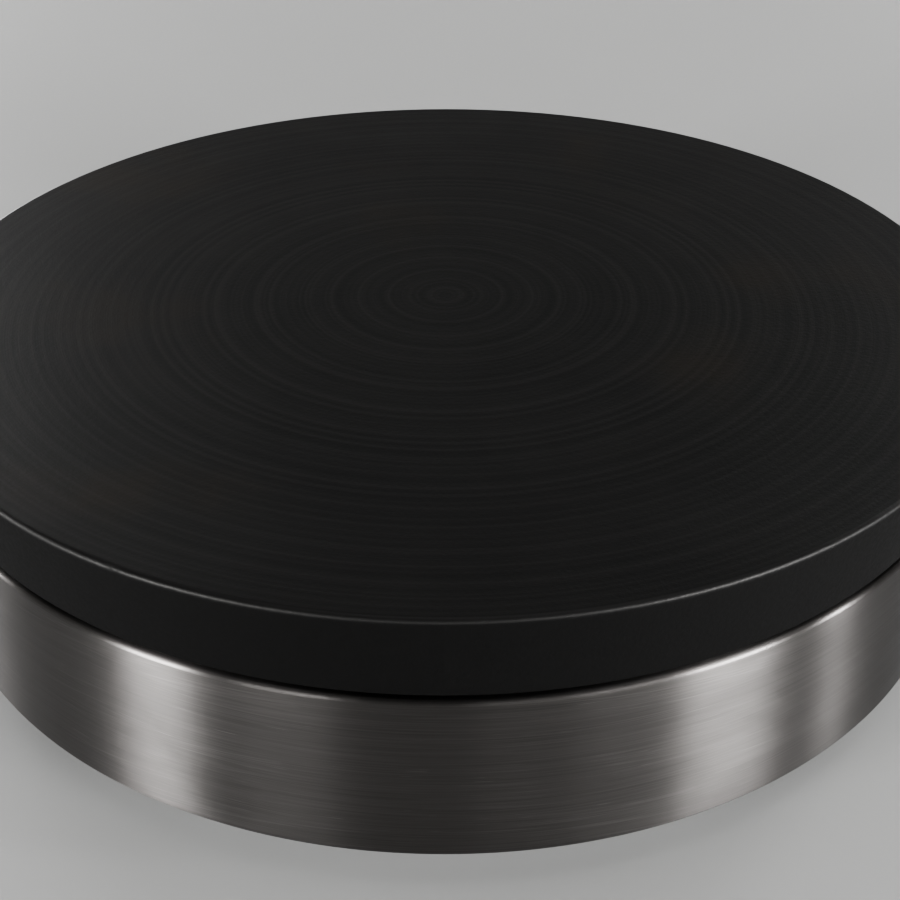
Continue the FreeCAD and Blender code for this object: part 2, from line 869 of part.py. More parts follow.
def base_plate():
    """The round base plate, with a stiffening bead and a ring of cooling slots."""
    inner_foot = base_bead_radius - base_bead_width / 2 - base_bead_height
    inner_top = base_bead_radius - base_bead_width / 2
    outer_top = base_bead_radius + base_bead_width / 2
    outer_foot = base_bead_radius + base_bead_width / 2 + base_bead_height
    rise = base_bead_height
    plate = turned([
        (0, base_bottom_z, 0),
        (inner_foot, base_bottom_z, 0),
        (inner_top, base_bottom_z + rise, 0),
        (outer_top, base_bottom_z + rise, 0),
        (outer_foot, base_bottom_z, 0),
        (base_radius, base_bottom_z, 0),
        (base_radius, base_top_z, 0),
        (outer_foot, base_top_z, 0),
        (outer_top, base_top_z + rise, 0),
        (inner_top, base_top_z + rise, 0),
        (inner_foot, base_top_z, 0),
        (0, base_top_z, 0),
    ])
    low = base_bottom_z - 1
    high = base_top_z + 1
    slot_middle = vent_inner_radius + vent_length / 2
    cuts = []
    for angle in even_angles(vent_count):
        slot = slab(rectangle(vent_length, vent_width, vent_width / 2 - 0.01, slot_middle), low, high)
        cuts.append(slot.rotate(Vector(0, 0, 0), UP, angle))
    cuts += [cylinder(base_screw_radius + hole_clearance, low, high, x, y)
             for x, y in base_screw_points()]
    cuts += [cylinder(foot_stud_radius + hole_clearance, low, high, x, y)
             for x, y in foot_points().values()]
    cuts += [cylinder(block_screw_radius + seat_clearance, low, high, x, y)
             for x, y in block_screw_points()]
    return plate.cut(cuts)


def base_screws():
    """The screws that hold the base plate to the drum's bottom flange."""
    return group([fastener(base_screw_head_radius, screw_head_height, base_screw_radius,
                           base_screw_length, base_bottom_z, x, y, headed_up=False)
                  for x, y in base_screw_points()])


def foot_nuts():
    """The four threaded inserts welded on the base plate."""
    nuts = []
    for x, y in foot_points().values():
        nut = turned([
            (0, base_top_z, 0),
            (foot_nut_radius + foot_nut_flange, base_top_z, 0),
            (foot_nut_radius + foot_nut_flange, base_top_z + foot_nut_flange, 0),
            (foot_nut_radius, base_top_z + foot_nut_flange, 0),
            (foot_nut_radius, base_top_z + foot_nut_height, 0.8),
            (0, base_top_z + foot_nut_height, 0),
        ])
        bore = cylinder(foot_stud_radius + running_clearance, base_top_z - 1,
                        base_top_z + foot_nut_height + 1)
        nuts.append(nut.cut(bore).translate(Vector(x, y, 0)))
    return group(nuts)


def foot_pad(x, y):
    """A rubber foot that snaps over the disc of its stud."""
    pad = turned([
        (0, 0, 0),
        (foot_pad_radius, 0, 1.0),
        (foot_pad_top_radius, foot_pad_height, 1.2),
        (0, foot_pad_height, 0),
    ])
    pocket = cylinder(foot_disc_radius + running_clearance, foot_pad_floor,
                      foot_pad_floor + foot_disc_height + foot_running_gap)
    throat = cylinder(foot_neck_radius + running_clearance, foot_pad_floor, foot_pad_height + 1)
    return pad.cut([pocket, throat]).translate(Vector(x, y, 0))


def foot_stud(x, y):
    """The levelling stud: a disc in the pad, a hexagon for the spanner and a threaded end."""
    disc_top = foot_pad_floor + foot_disc_height
    collar_bottom = foot_pad_height + foot_running_gap
    collar_top = collar_bottom + foot_collar_height
    stud_top = base_top_z + foot_nut_height + foot_travel + stud_end_length
    shaft = turned([
        (0, foot_pad_floor, 0),
        (foot_disc_radius, foot_pad_floor, 0.5),
        (foot_disc_radius, disc_top, 0.5),
        (foot_neck_radius, disc_top, 0),
        (foot_neck_radius, collar_bottom, 0),
        (foot_stud_radius, collar_top, 0),
        (foot_stud_radius, stud_top, 0.8),
        (0, stud_top, 0),
    ])
    collar = slab(hexagon(foot_collar_across), collar_bottom, collar_top)
    return shaft.fuse(collar).removeSplitter().translate(Vector(x, y, 0))


def switch_opening(grow):
    """The hole for the rocker switch, drawn at its place on the panel."""
    width = switch_width + 2 * grow
    height = switch_height + 2 * grow
    return slab(rectangle(width, height, 0, switch_offset), panel_inner_face - 1, panel_face + 1)


def lamp_points():
    """The centres of the two pilot lamps on the panel."""
    return [(-lamp_offset, lamp_half_spacing), (-lamp_offset, -lamp_half_spacing)]


def thermostat_screw_points():
    """The two screws that hold the thermostat, hidden behind the knob."""
    return [(-thermostat_screw_offset, 0), (thermostat_screw_offset, 0)]


def control_panel():
    """The moulded panel: an open-backed box whose rim follows the drum."""
    root = chord_distance(casing_radius, panel_width / 2) - 2
    outer = slab(rectangle(panel_width, panel_height, panel_corner), root, panel_face)
    outer = outer.makeFillet(panel_edge_radius, front_edges(outer, panel_face))
    hollow = slab(rectangle(panel_width - 2 * panel_wall, panel_height - 2 * panel_wall,
                            panel_corner - panel_wall), root - 1, panel_inner_face)
    panel = outer.cut(hollow)
    bosses = []
    bores = []
    for angle in panel_boss_angles():
        boss = radial(cylinder(panel_boss_radius, root, panel_face + 10), angle)
        bosses.append(boss.common(outer))
        bore = cylinder(panel_screw_radius + seat_clearance, root,
                        casing_radius + panel_screw_reach + seat_clearance)
        bores.append(radial(bore, angle))
    panel = panel.fuse(bosses)
    cuts = bores + [drum_surface(casing_radius), switch_opening(seat_clearance)]
    low = panel_inner_face - 1
    high = panel_face + 1
    cuts.append(cylinder(thermostat_bush_radius + hole_clearance, low, high))
    cuts += [cylinder(thermostat_screw_radius + hole_clearance, low, high, x, y)
             for x, y in thermostat_screw_points()]
    cuts += [cylinder(lamp_lens_radius + seat_clearance, low, high, x, y) for x, y in lamp_points()]
    return to_front(panel.cut(cuts).removeSplitter())


def panel_screws():
    """Two screws from inside the drum into the panel's bosses."""
    seat = chord_distance(casing_inner_radius, panel_screw_head_radius)
    screws = []
    for angle in panel_boss_angles():
        length = casing_radius + panel_screw_reach - seat
        screw = fastener(panel_screw_head_radius, panel_screw_head_height, panel_screw_radius,
                         length, seat, 0, 0, headed_up=False)
        screws.append(to_front(radial(screw, angle)))
    return group(screws)


def thermostat_body():
    """The capillary thermostat: switch block, mounting plate and bush."""
    body = slab(rectangle(thermostat_width, thermostat_height, 2.5), thermostat_back, thermostat_front)
    plate = slab(rectangle(thermostat_plate_width, thermostat_plate_height, 2.5),
                 thermostat_front, panel_inner_face)
    bush = cylinder(thermostat_bush_radius, panel_inner_face, panel_face)
    body = body.fuse([plate, bush])
    cuts = [cylinder(shaft_radius + running_clearance, thermostat_front - shaft_seat, panel_face + 1)]
    cuts += [cylinder(thermostat_screw_radius + seat_clearance,
                      panel_face - thermostat_screw_length - 1, panel_face, x, y)
             for x, y in thermostat_screw_points()]
    return to_front(body.cut(cuts).removeSplitter())


def thermostat_screws():
    """The thermostat's two screws, with flat heads on the panel's face."""
    screws = [fastener(thermostat_screw_head_radius, knob_gap * 0.6, thermostat_screw_radius,
                       thermostat_screw_length, panel_face, x, y)
              for x, y in thermostat_screw_points()]
    return group([to_front(screw) for screw in screws])


def shaft_profile(radius, flat_at, bottom, top):
    """A shaft end with one flat."""
    shaft = cylinder(radius, bottom, top)
    return shaft.cut(block(-radius, radius, flat_at, radius + 1, bottom, top))


def turned_off(shape):
    """Turns a shape whose mark points up to the knob's off position."""
    return shape.rotate(Vector(0, 0, 0), UP, knob_off_angle)


def thermostat_shaft():
    """The thermostat's spindle, with a flat for the knob."""
    inner = thermostat_front - shaft_seat
    shaft = cylinder(shaft_radius, inner, knob_back)
    end = shaft_profile(shaft_radius, shaft_radius - shaft_flat, knob_back, shaft_end)
    return to_front(turned_off(shaft.fuse(end)))


def control_knob():
    """The knob: a round skirt, a tapered grip bar with a sunk pointer line, and a hub."""
    skirt = turned([
        (0, knob_back, 0),
        (knob_radius, knob_back, 0),
        (knob_radius - 0.8, knob_back + knob_disc_height, 1.4),
        (0, knob_back + knob_disc_height, 0),
    ])
    width = knob_bar_width
    length = knob_bar_length
    root = flat_outline(rectangle(width, length, width * 0.42), knob_back + knob_disc_height * 0.5)
    top = flat_outline(rectangle(width - 2 * knob_bar_taper, length - 2 * knob_bar_taper,
                                 (width - 2 * knob_bar_taper) * 0.42), knob_front)
    bar = Part.makeLoft([root, top], True, True)
    bar = bar.makeFillet(1.2, front_edges(bar, knob_front))
    knob = skirt.fuse(bar).removeSplitter()
    line = slab(rectangle(knob_line_width, knob_line_length, 0, 0,
                          length / 2 - knob_line_length / 2), knob_front - knob_line_depth, knob_front + 1)
    bore_end = shaft_end + knob_bore_spare
    bore = shaft_profile(shaft_radius + seat_clearance, shaft_radius - shaft_flat + seat_clearance,
                         knob_back, bore_end)
    relief = ring(knob_radius - knob_wall, knob_hub_radius, knob_back,
                  knob_back + knob_disc_height - knob_wall)
    return to_front(turned_off(knob.cut([line, bore, relief])))


def bulb_y(fraction):
    """A place along the bulb: 0 at its outer end, 1 at its inner end."""
    return -(bulb_start() - bulb_length * fraction)


def thermostat_bulb():
    """The sensing bulb under the plate, with its capillary down to the thermostat."""
    level = plate_under_z - bulb_radius
    start = Vector(0, bulb_y(0), level)
    bulb = Part.makeCylinder(bulb_radius, bulb_length, start, Vector(0, 1, 0))
    x, y = capillary_riser()
    back = -thermostat_back
    points = [
        start + Vector(0, 0.5, 0),
        Vector(x, y, level),
        Vector(x, y, control_z),
        Vector(0, back, control_z),
    ]
    tube = swept_tube(bent_path(points), capillary_diameter)
    return bulb.fuse(tube)


def bulb_clip():
    """The strap that holds the bulb to the plate."""
    x, y = bulb_clip_screw_point()
    bottom = plate_under_z - 2 * bulb_radius - bulb_clip_sheet
    top = bottom + bulb_clip_sheet
    half = bulb_clip_width / 2
    corners = [
        (x - half, y - half, 2),
        (bulb_radius, y - half, 2),
        (bulb_radius, y + half, 2),
        (x - half, y + half, 2),
    ]
    hole = cylinder(bulb_clip_screw_radius + hole_clearance, bottom - 1, top + 1, x, y)
    return slab(corners, bottom, top).cut(hole)


def bulb_clip_screw():
    """The strap's screw."""
    x, y = bulb_clip_screw_point()
    seat = plate_under_z - 2 * bulb_radius - bulb_clip_sheet
    return fastener(bulb_clip_screw_radius * 1.9, screw_head_height, bulb_clip_screw_radius,
                    bulb_clip_screw_length, seat, x, y, headed_up=False)


def switch_housing():
    """The rocker switch's body, with its bezel and the seats of the rocker's pins."""
    body = slab(rectangle(switch_width, switch_height), switch_back, panel_face)
    bezel_top = panel_face + bezel_height
    bezel = slab(rectangle(switch_width + 2 * bezel_overhang, switch_height + 2 * bezel_overhang, 1.5),
                 panel_face, bezel_top)
    bezel = bezel.makeFillet(0.7, front_edges(bezel, bezel_top))
    cavity = slab(rectangle(switch_width - 2 * switch_wall, switch_height - 2 * switch_wall),
                  rocker_axis_distance - rocker_root_depth - rocker_root_room, bezel_top + 1)
    half = switch_width / 2 - switch_wall
    reach = half + rocker_pin_length + seat_clearance
    pin_hole = Part.makeCylinder(rocker_pin_radius + running_clearance, 2 * reach,
                                 Vector(-reach, 0, rocker_axis_distance), Vector(1, 0, 0))
    housing = body.fuse(bezel).removeSplitter().cut([cavity, pin_hole])
    return to_front(housing.translate(Vector(switch_offset, 0, 0)))


def switch_rocker():
    """The rocker: a shallow V on top, ends struck from its pivot, and two pins."""
    end_radius = switch_cavity_half - rocker_side_clearance
    half = switch_width / 2 - switch_wall - rocker_side_clearance
    outline = [
        (-end_radius - 1, rocker_tip_proud + 0.2, 0),
        (0, rocker_valley_proud, 6),
        (end_radius + 1, rocker_tip_proud + 0.2, 0),
        (end_radius + 1, -rocker_end_depth, 0),
        (rocker_root_half, -rocker_root_depth, 1),
        (-rocker_root_half, -rocker_root_depth, 1),
        (-end_radius - 1, -rocker_end_depth, 0),
    ]
    wire = rounded_wire(outline, lambda p: Vector(-half, p.x, p.y))
    body = Part.Face(wire).extrude(Vector(2 * half, 0, 0))
    barrel = Part.makeCylinder(end_radius, 2 * half, Vector(-half, 0, 0), Vector(1, 0, 0))
    body = body.common(barrel)
    reach = switch_width / 2 - switch_wall + rocker_pin_length
    pins = Part.makeCylinder(rocker_pin_radius, 2 * reach, Vector(-reach, 0, 0), Vector(1, 0, 0))
    rocker = body.fuse(pins).removeSplitter()
    rocker = rocker.rotate(Vector(0, 0, 0), Vector(1, 0, 0), rocker_throw / 2)
    return to_front(rocker.translate(Vector(switch_offset, 0, rocker_axis_distance)))


def lamp_lens(x, y):
    """A pilot lamp's lens: stem, flange and dome."""
    top = panel_face + lamp_flange_height + lamp_dome_height
    lens = turned([
        (0, panel_face - lamp_stem_length, 0),
        (lamp_lens_radius, panel_face - lamp_stem_length, 0),
        (lamp_lens_radius, panel_face, 0),
        (lamp_flange_radius, panel_face, 0),
        (lamp_flange_radius, panel_face + lamp_flange_height, 0.5),
        (lamp_lens_radius, panel_face + lamp_flange_height, 0),
        (lamp_lens_radius, top, lamp_dome_height * 0.9),
        (0, top, 0),
    ])
    return to_front(lens.translate(Vector(x, y, 0)))


def lamp_bodies():
    """The two lamps' holders, clipped behind the panel."""
    bodies = []
    for x, y in lamp_points():
        body = cylinder(lamp_body_radius, panel_inner_face - lamp_body_length, panel_inner_face)
        bore = cylinder(lamp_lens_radius + seat_clearance, panel_face - lamp_stem_length,
                        panel_face)
        bodies.append(to_front(body.cut(bore).translate(Vector(x, y, 0))))
    return group(bodies)


def gland_body():
    """The gland: a hexagon saddled to the drum, a thread inward and a neck outward."""
    flange = slab(hexagon(gland_across), casing_radius - 4, gland_flange_face)
    flange = flange.cut(drum_surface(casing_radius))
    thread = cylinder(gland_thread_radius, gland_inner_end, gland_flange_face)
    neck = cylinder(gland_neck_radius, gland_flange_face, gland_neck_end)
    body = flange.fuse([thread, neck]).removeSplitter()
    bores = [
        cylinder(gland_mouth_radius, gland_inner_end - 1, gland_floor),
        cylinder(gland_bore_radius, gland_floor, gland_neck_end + 1),
    ]
    return to_rear(body.cut(bores))


def gland_seal():
    """The rubber bush that grips a cable."""
    return to_rear(ring(gland_bore_radius - seat_clearance, seal_bore_radius,
                        gland_floor, gland_floor + seal_ring_length))


def gland_dome_nut():
    """The dome nut that squeezes the bush."""
    start = gland_flange_face + gland_dome_gap
    hex_end = gland_flange_face + gland_dome_hex_length
    hexagonal = slab(hexagon(gland_across), start, hex_end)
    dome = turned([
        (0, start, 0),
        (gland_across / 2, start, 0),
        (gland_across / 2, gland_dome_end, gland_dome_round),
        (0, gland_dome_end, 0),
    ])
    seal_end = gland_floor + seal_ring_length
    nut = hexagonal.fuse(dome).removeSplitter()
    return to_rear(nut.cut([
        cylinder(gland_neck_radius + seat_clearance, start - 1, gland_neck_end + gland_dome_gap),
        cylinder(gland_bore_radius + seat_clearance, start, seal_end),
        cylinder(gland_mouth_radius, seal_end, gland_dome_end + 1),
    ]))


def gland_locknut():
    """The gland's nut inside the drum."""
    face = chord_distance(casing_inner_radius, gland_locknut_across / math.sqrt(3))
    return to_rear(hex_nut(gland_locknut_across, gland_thread_radius + seat_clearance,
                           face - gland_locknut_height, face))


def block_pole_points():
    """The three poles' places across the terminal block."""
    return [-block_pole_pitch, 0.0, block_pole_pitch]


def block_screw_points():
    """The two screws that hold the terminal block, between its poles."""
    return [(-block_pole_pitch / 2, block_y), (block_pole_pitch / 2, block_y)]


def terminal_block():
    """The three-pole terminal block on the base plate."""
    half_width = block_width / 2
    half_depth = block_depth / 2
    body = block(-half_width, half_width, block_y - half_depth, block_y + half_depth,
                 base_top_z, base_top_z + block_height)
    pole_z = base_top_z + block_height / 2
    cuts = []
    for x in block_pole_points():
        cuts.append(Part.makeCylinder(block_pole_radius + seat_clearance, block_depth + 2,
                                      Vector(x, block_y - half_depth - 1, pole_z), Vector(0, 1, 0)))
        for side in (-1, 1):
            well_y = block_y + side * block_screw_spread
            cuts.append(cylinder(pole_screw_radius + hole_clearance, pole_z,
                                 base_top_z + block_height + 1, x, well_y))
    for x, y in block_screw_points():
        cuts.append(cylinder(block_screw_radius + hole_clearance, base_top_z - 1,
                             base_top_z + block_height + 1, x, y))
        cuts.append(cylinder(block_screw_head_radius + hole_clearance, base_top_z + block_height / 2,
                             base_top_z + block_height + 1, x, y))
    return body.cut(cuts)


def terminal_contacts():
    """The brass tubes that join the wires."""
    pole_z = base_top_z + block_height / 2
    tubes = []
    for x in block_pole_points():
        start = Vector(x, block_y - block_depth / 2 + 1, pole_z)
        tube = Part.makeCylinder(block_pole_radius, block_depth - 2, start, Vector(0, 1, 0))
        bore = Part.makeCylinder(block_pole_bore, block_depth, start - Vector(0, 1, 0), Vector(0, 1, 0))
        taps = [cylinder(pole_screw_radius + seat_clearance, pole_z, pole_z + 2 * block_pole_radius,
                         x, block_y + side * block_screw_spread)
                for side in (-1, 1)]
        tubes.append(tube.cut([bore] + taps))
    return group(tubes)


def terminal_screws():
    """Two clamping screws for each pole."""
    pole_z = base_top_z + block_height / 2
    top = base_top_z + block_height - 2
    bottom = pole_z + block_pole_bore
    return group([cylinder(pole_screw_radius, bottom, top, x, block_y + side * block_screw_spread)
                  for x in block_pole_points() for side in (-1, 1)])


def block_screws():
    """The screws that hold the terminal block."""
    return group([fastener(block_screw_head_radius, screw_head_height, block_screw_radius,
                           block_height / 2 + base_sheet, base_top_z + block_height / 2, x, y)
                  for x, y in block_screw_points()])


def cutout_screw_points():
    """The cut-out's two screws."""
    return [(cutout_x - cutout_screw_offset, cutout_y), (cutout_x + cutout_screw_offset, cutout_y)]


def thermal_cutout():
    """The over-temperature cut-out under the tray: a flanged cap and a moulded body."""
    flange_bottom = tray_bottom_z - cutout_flange_sheet
    flange = slab(rectangle(cutout_flange_width, cutout_flange_height, 3, cutout_x, cutout_y),
                  flange_bottom, tray_bottom_z)
    body = turned([
        (0, tray_bottom_z - cutout_height, 0),
        (cutout_radius - 1.5, tray_bottom_z - cutout_height, 0.6),
        (cutout_radius - 1.5, flange_bottom, 0),
        (0, flange_bottom, 0),
    ]).translate(Vector(cutout_x, cutout_y, 0))
    cap = cylinder(cutout_radius, flange_bottom - cutout_flange_sheet, tray_bottom_z, cutout_x, cutout_y)
    holes = [cylinder(cutout_screw_radius + hole_clearance, flange_bottom - 5, tray_bottom_z + 1, x, y)
             for x, y in cutout_screw_points()]
    return flange.fuse([body, cap]).removeSplitter().cut(holes)


def cutout_screws():
    """The cut-out's screws."""
    return group([fastener(cutout_screw_radius * 1.7, screw_head_height * 0.8, cutout_screw_radius,
                           cutout_flange_sheet + tray_sheet, tray_bottom_z - cutout_flange_sheet,
                           x, y, headed_up=False)
                  for x, y in cutout_screw_points()])


def earth_stud():
    """The earth stud, welded on the base plate."""
    foot = cylinder(earth_stud_radius * 1.8, base_top_z, base_top_z + earth_foot_height,
                    earth_x, earth_y)
    return foot.fuse(cylinder(earth_stud_radius, base_top_z, base_top_z + earth_stud_height,
                              earth_x, earth_y))


def earth_nut():
    """The nut that presses the earth lug on its stud."""
    bottom = base_top_z + earth_foot_height + tab_sheet
    return hex_nut(earth_nut_across, earth_stud_radius + seat_clearance, bottom,
                   bottom + earth_nut_height, earth_x, earth_y)


def switch_tab_places():
    """The switch's four tabs, drawn on its back: two in above, two out below."""
    return [(switch_offset + side * switch_tab_half, up * switch_tab_rise)
            for up in (1, -1) for side in (-1, 1)]


def thermostat_tab_places():
    """The thermostat's two tabs, drawn on its back."""
    return [(-thermostat_tab_half, 0), (thermostat_tab_half, 0)]


def cutout_tab_places():
    """The cut-out's two tabs, below it."""
    return [(cutout_x - cutout_tab_half, cutout_y), (cutout_x + cutout_tab_half, cutout_y)]


def wire_tabs():
    """Spade tabs on the switch, the thermostat and the cut-out, and the earth lug."""
    tabs = []
    for x, y in switch_tab_places():
        tab = block(x - tab_sheet / 2, x + tab_sheet / 2, y - tab_width / 2, y + tab_width / 2,
                    switch_back - tab_length, switch_back)
        tabs.append(to_front(tab))
    for x, y in thermostat_tab_places():
        tab = block(x - tab_sheet / 2, x + tab_sheet / 2, y - tab_width / 2, y + tab_width / 2,
                    thermostat_back - tab_length, thermostat_back)
        tabs.append(to_front(tab))
    top = tray_bottom_z - cutout_height
    for x, y in cutout_tab_places():
        tabs.append(block(x - tab_sheet / 2, x + tab_sheet / 2, y - tab_width / 2, y + tab_width / 2,
                          top - tab_length, top))
    lug_bottom = base_top_z + earth_foot_height
    lug = slab([
        (earth_x - earth_lug_half, earth_y - earth_lug_length, 1),
        (earth_x + earth_lug_half, earth_y - earth_lug_length, 1),
        (earth_x + earth_lug_half, earth_y + earth_lug_half, earth_lug_half * 0.9),
        (earth_x - earth_lug_half, earth_y + earth_lug_half, earth_lug_half * 0.9),
    ], lug_bottom, lug_bottom + tab_sheet)
    tabs.append(lug.cut(cylinder(earth_stud_radius + seat_clearance, lug_bottom - 1,
                                 lug_bottom + 2, earth_x, earth_y)))
    return group(tabs)


def wire_routes():
    """Each wire's points, from one terminal to the next."""
    pole_z = base_top_z + block_height / 2
    pole_y = block_y - block_depth / 2 + wire_entry
    left, middle, right = block_pole_points()
    switch_y = -(switch_back - tab_length)
    ins = [(x, control_z + up) for x, up in switch_tab_places()[:2]]
    outs = [(x, control_z + up) for x, up in switch_tab_places()[2:]]
    thermostat_y = -(thermostat_back - tab_length)
    low_tab, high_tab = (x for x, _ in thermostat_tab_places())
    outer_pin, inner_pin = element_leg_points()
    pin_end = tray_bottom_z - element_tail - seal_length - pin_length
    cut_a, cut_b = cutout_tab_places()
    cut_end = tray_bottom_z - cutout_height - tab_length
    floor = base_top_z + wire_lift
    crown = floor + wire_crown
    crimp_y = earth_y - earth_lug_length + lug_crimp_inset
    return [
        [Vector(left, pole_y, pole_z), Vector(left, block_y - live_block_run, pole_z),
         Vector(ins[0][0], -wire_crossing, crown),
         Vector(ins[0][0], switch_y + wire_tab_sweep, ins[0][1]),
         Vector(ins[0][0], switch_y, ins[0][1])],
        [Vector(middle, pole_y, pole_z), Vector(middle, block_y - neutral_block_run, pole_z),
         Vector(ins[1][0] + wire_side_slack, -wire_crossing, crown),
         Vector(ins[1][0], switch_y + wire_tab_sweep, ins[1][1]),
         Vector(ins[1][0], switch_y, ins[1][1])],
        [Vector(outs[0][0], switch_y, outs[0][1]),
         Vector(outs[0][0], switch_y + wire_tab_run, outs[0][1]),
         Vector(high_tab, switch_y + wire_tab_sweep, control_z),
         Vector(high_tab, thermostat_y, control_z)],
        [Vector(low_tab, thermostat_y, control_z),
         Vector(low_tab, thermostat_y + wire_tab_run, control_z),
         Vector(low_tab, outer_pin[1] + pin_wire_sweep, floor),
         Vector(outer_pin[0], outer_pin[1], floor),
         Vector(outer_pin[0], outer_pin[1], pin_end)],
        [Vector(inner_pin[0], inner_pin[1], pin_end), Vector(inner_pin[0], inner_pin[1], floor),
         Vector(cut_b[0], cut_b[1], floor), Vector(cut_b[0], cut_b[1], cut_end)],
        [Vector(cut_a[0], cut_a[1], cut_end), Vector(cut_a[0], cut_a[1], floor),
         Vector(cut_a[0] + return_wire_x, -return_wire_y, floor),
         Vector(outs[1][0], switch_y + 2 * wire_tab_run, floor),
         Vector(outs[1][0], switch_y + wire_tab_run, outs[1][1]),
         Vector(outs[1][0], switch_y, outs[1][1])],
        [Vector(right, pole_y, pole_z), Vector(right, pole_y - earth_block_run, pole_z),
         Vector(earth_x, crimp_y, pole_z + earth_wire_rise),
         Vector(earth_x, crimp_y, base_top_z + earth_foot_height + tab_sheet)],
    ]


def internal_wires():
    """The insulated wires between the terminals."""
    return group([swept_tube(bent_path(points), wire_diameter) for points in wire_routes()])


def nodes():
    """Every node's name with its shape."""
    parts = {
        "griddle_plate": griddle_plate(),
        "heating_element": heating_element(),
        "element_seals": element_seals(),
        "element_pins": element_pins(),
        "element_pin_nuts": pin_nuts(),
        "element_clamp_bars": clamp_bars(),
        "clamp_studs": clamp_studs(),
        "clamp_washers": clamp_washers(),
        "clamp_nuts": clamp_nuts(),
        "carrier_studs": carrier_studs(),
        "carrier_spacers": carrier_spacers(),
        "carrier_washers": carrier_washers(),
        "carrier_nuts": carrier_nuts(),
        "insulation_pad": insulation_pad(),
        "heater_tray": heater_tray(),
        "tray_screws": tray_screws(),
        "casing_drum": casing_drum(),
        "base_plate": base_plate(),
        "base_screws": base_screws(),
        "foot_nuts": foot_nuts(),
        "control_panel": control_panel(),
        "panel_screws": panel_screws(),
        "thermostat_body": thermostat_body(),
        "thermostat_screws": thermostat_screws(),
        "thermostat_shaft": thermostat_shaft(),
        "control_knob": control_knob(),
        "thermostat_bulb": thermostat_bulb(),
        "bulb_clip": bulb_clip(),
        "bulb_clip_screw": bulb_clip_screw(),
        "switch_housing": switch_housing(),
        "switch_rocker": switch_rocker(),
        "lamp_bodies": lamp_bodies(),
        "gland_body": gland_body(),
        "gland_seal": gland_seal(),
        "gland_dome_nut": gland_dome_nut(),
        "gland_locknut": gland_locknut(),
        "terminal_block": terminal_block(),
        "terminal_contacts": terminal_contacts(),
        "terminal_screws": terminal_screws(),
        "terminal_block_screws": block_screws(),
        "thermal_cutout": thermal_cutout(),
        "cutout_screws": cutout_screws(),
        "earth_stud": earth_stud(),
        "earth_nut": earth_nut(),
        "wire_tabs": wire_tabs(),
        "internal_wires": internal_wires(),
    }
    for name, (x, y) in zip(("power_lamp_lens", "heat_lamp_lens"), lamp_points()):
        parts[name] = lamp_lens(x, y)
    for name, (x, y) in foot_points().items():
        parts[f"{name}_foot_pad"] = foot_pad(x, y)
        parts[f"{name}_foot_stud"] = foot_stud(x, y)
    return parts


def main():
    """Builds every piece and writes one STEP file for each node."""
    os.makedirs("parts", exist_ok=True)
    for name, shape in nodes().items():
        if not shape.isValid():
            raise ValueError(f"{name} is not a valid shape")
        shape.exportStep(f"parts/{name}.step")
        print(f"{name}: {len(shape.Solids)} solids, {shape.Volume / 1000:.2f} cm3")


if __name__ == "__main__":
    main()
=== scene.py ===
"""Looks for an electric crepe maker: a black cast-iron griddle plate on a brushed steel drum.

Metres, +Z up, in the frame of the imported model. The control panel faces -Y, the cable gland
is on +Y, and the main camera looks along -X, as the photograph does.
"""

import json
import math

import bmesh
import bpy
from mathutils import Matrix, Vector
from mathutils.bvhtree import BVHTree


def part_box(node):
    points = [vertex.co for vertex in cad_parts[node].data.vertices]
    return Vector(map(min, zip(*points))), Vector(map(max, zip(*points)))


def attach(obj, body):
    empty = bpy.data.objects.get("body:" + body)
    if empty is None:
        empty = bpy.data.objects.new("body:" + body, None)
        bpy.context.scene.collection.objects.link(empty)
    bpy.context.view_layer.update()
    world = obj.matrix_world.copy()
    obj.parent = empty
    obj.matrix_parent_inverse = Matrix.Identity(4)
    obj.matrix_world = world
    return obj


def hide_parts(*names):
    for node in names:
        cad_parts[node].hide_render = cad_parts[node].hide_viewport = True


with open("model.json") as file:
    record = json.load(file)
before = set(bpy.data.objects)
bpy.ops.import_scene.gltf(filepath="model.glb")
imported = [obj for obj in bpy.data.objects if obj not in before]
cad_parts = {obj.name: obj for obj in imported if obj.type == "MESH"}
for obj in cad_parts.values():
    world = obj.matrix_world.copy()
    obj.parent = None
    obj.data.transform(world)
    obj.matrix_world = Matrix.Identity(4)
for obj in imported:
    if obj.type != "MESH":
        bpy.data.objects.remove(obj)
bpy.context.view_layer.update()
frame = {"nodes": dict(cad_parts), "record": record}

MM = 0.001

# Sizes read from the frame
plate_low, plate_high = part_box("griddle_plate")
plate_radius = (plate_high.y - plate_low.y) / 2
plate_top = plate_high.z
drum_low, drum_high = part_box("casing_drum")
drum_radius = (drum_high.y - drum_low.y) / 2
panel_low, panel_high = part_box("control_panel")
panel_face = -panel_low.y
control_z = (panel_low.z + panel_high.z) / 2
knob_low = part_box("control_knob")[0]
knob_front = -knob_low.y
rocker_low, rocker_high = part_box("switch_rocker")
base_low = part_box("base_plate")[0]

# Fits repeated from the part's own values
plate_edge_round = 2.0 * MM
drum_sheet = 1.2 * MM
drum_bend = 2.0 * MM
drum_lip = 16.0 * MM
window_half_height = 18.0 * MM
window_half_angle = math.radians(15)
gland_z = 33.0 * MM
gland_hole_half = 8.6 * MM
gland_hole_half_angle = math.radians(2.5)
knob_rest_angle = math.radians(135)
knob_radius = 17.0 * MM
thread_pitch = 1.25 * MM
screw_circle_inset = 9.0 * MM

# The feet, in millimetres: the part's own values, and where the modelled thread starts and ends
disc_radius = 8.0
disc_low = 1.8
disc_high = 3.8
neck_radius = 4.6
neck_high = 6.4
hexagon_across = 13.0
hexagon_low = 6.3
hexagon_high = 10.7
thread_low = 10.4
thread_high = 20.6
thread_radius = 4.0
shank_high = 30.5
pad_radius = 19.0
pad_height = 6.0

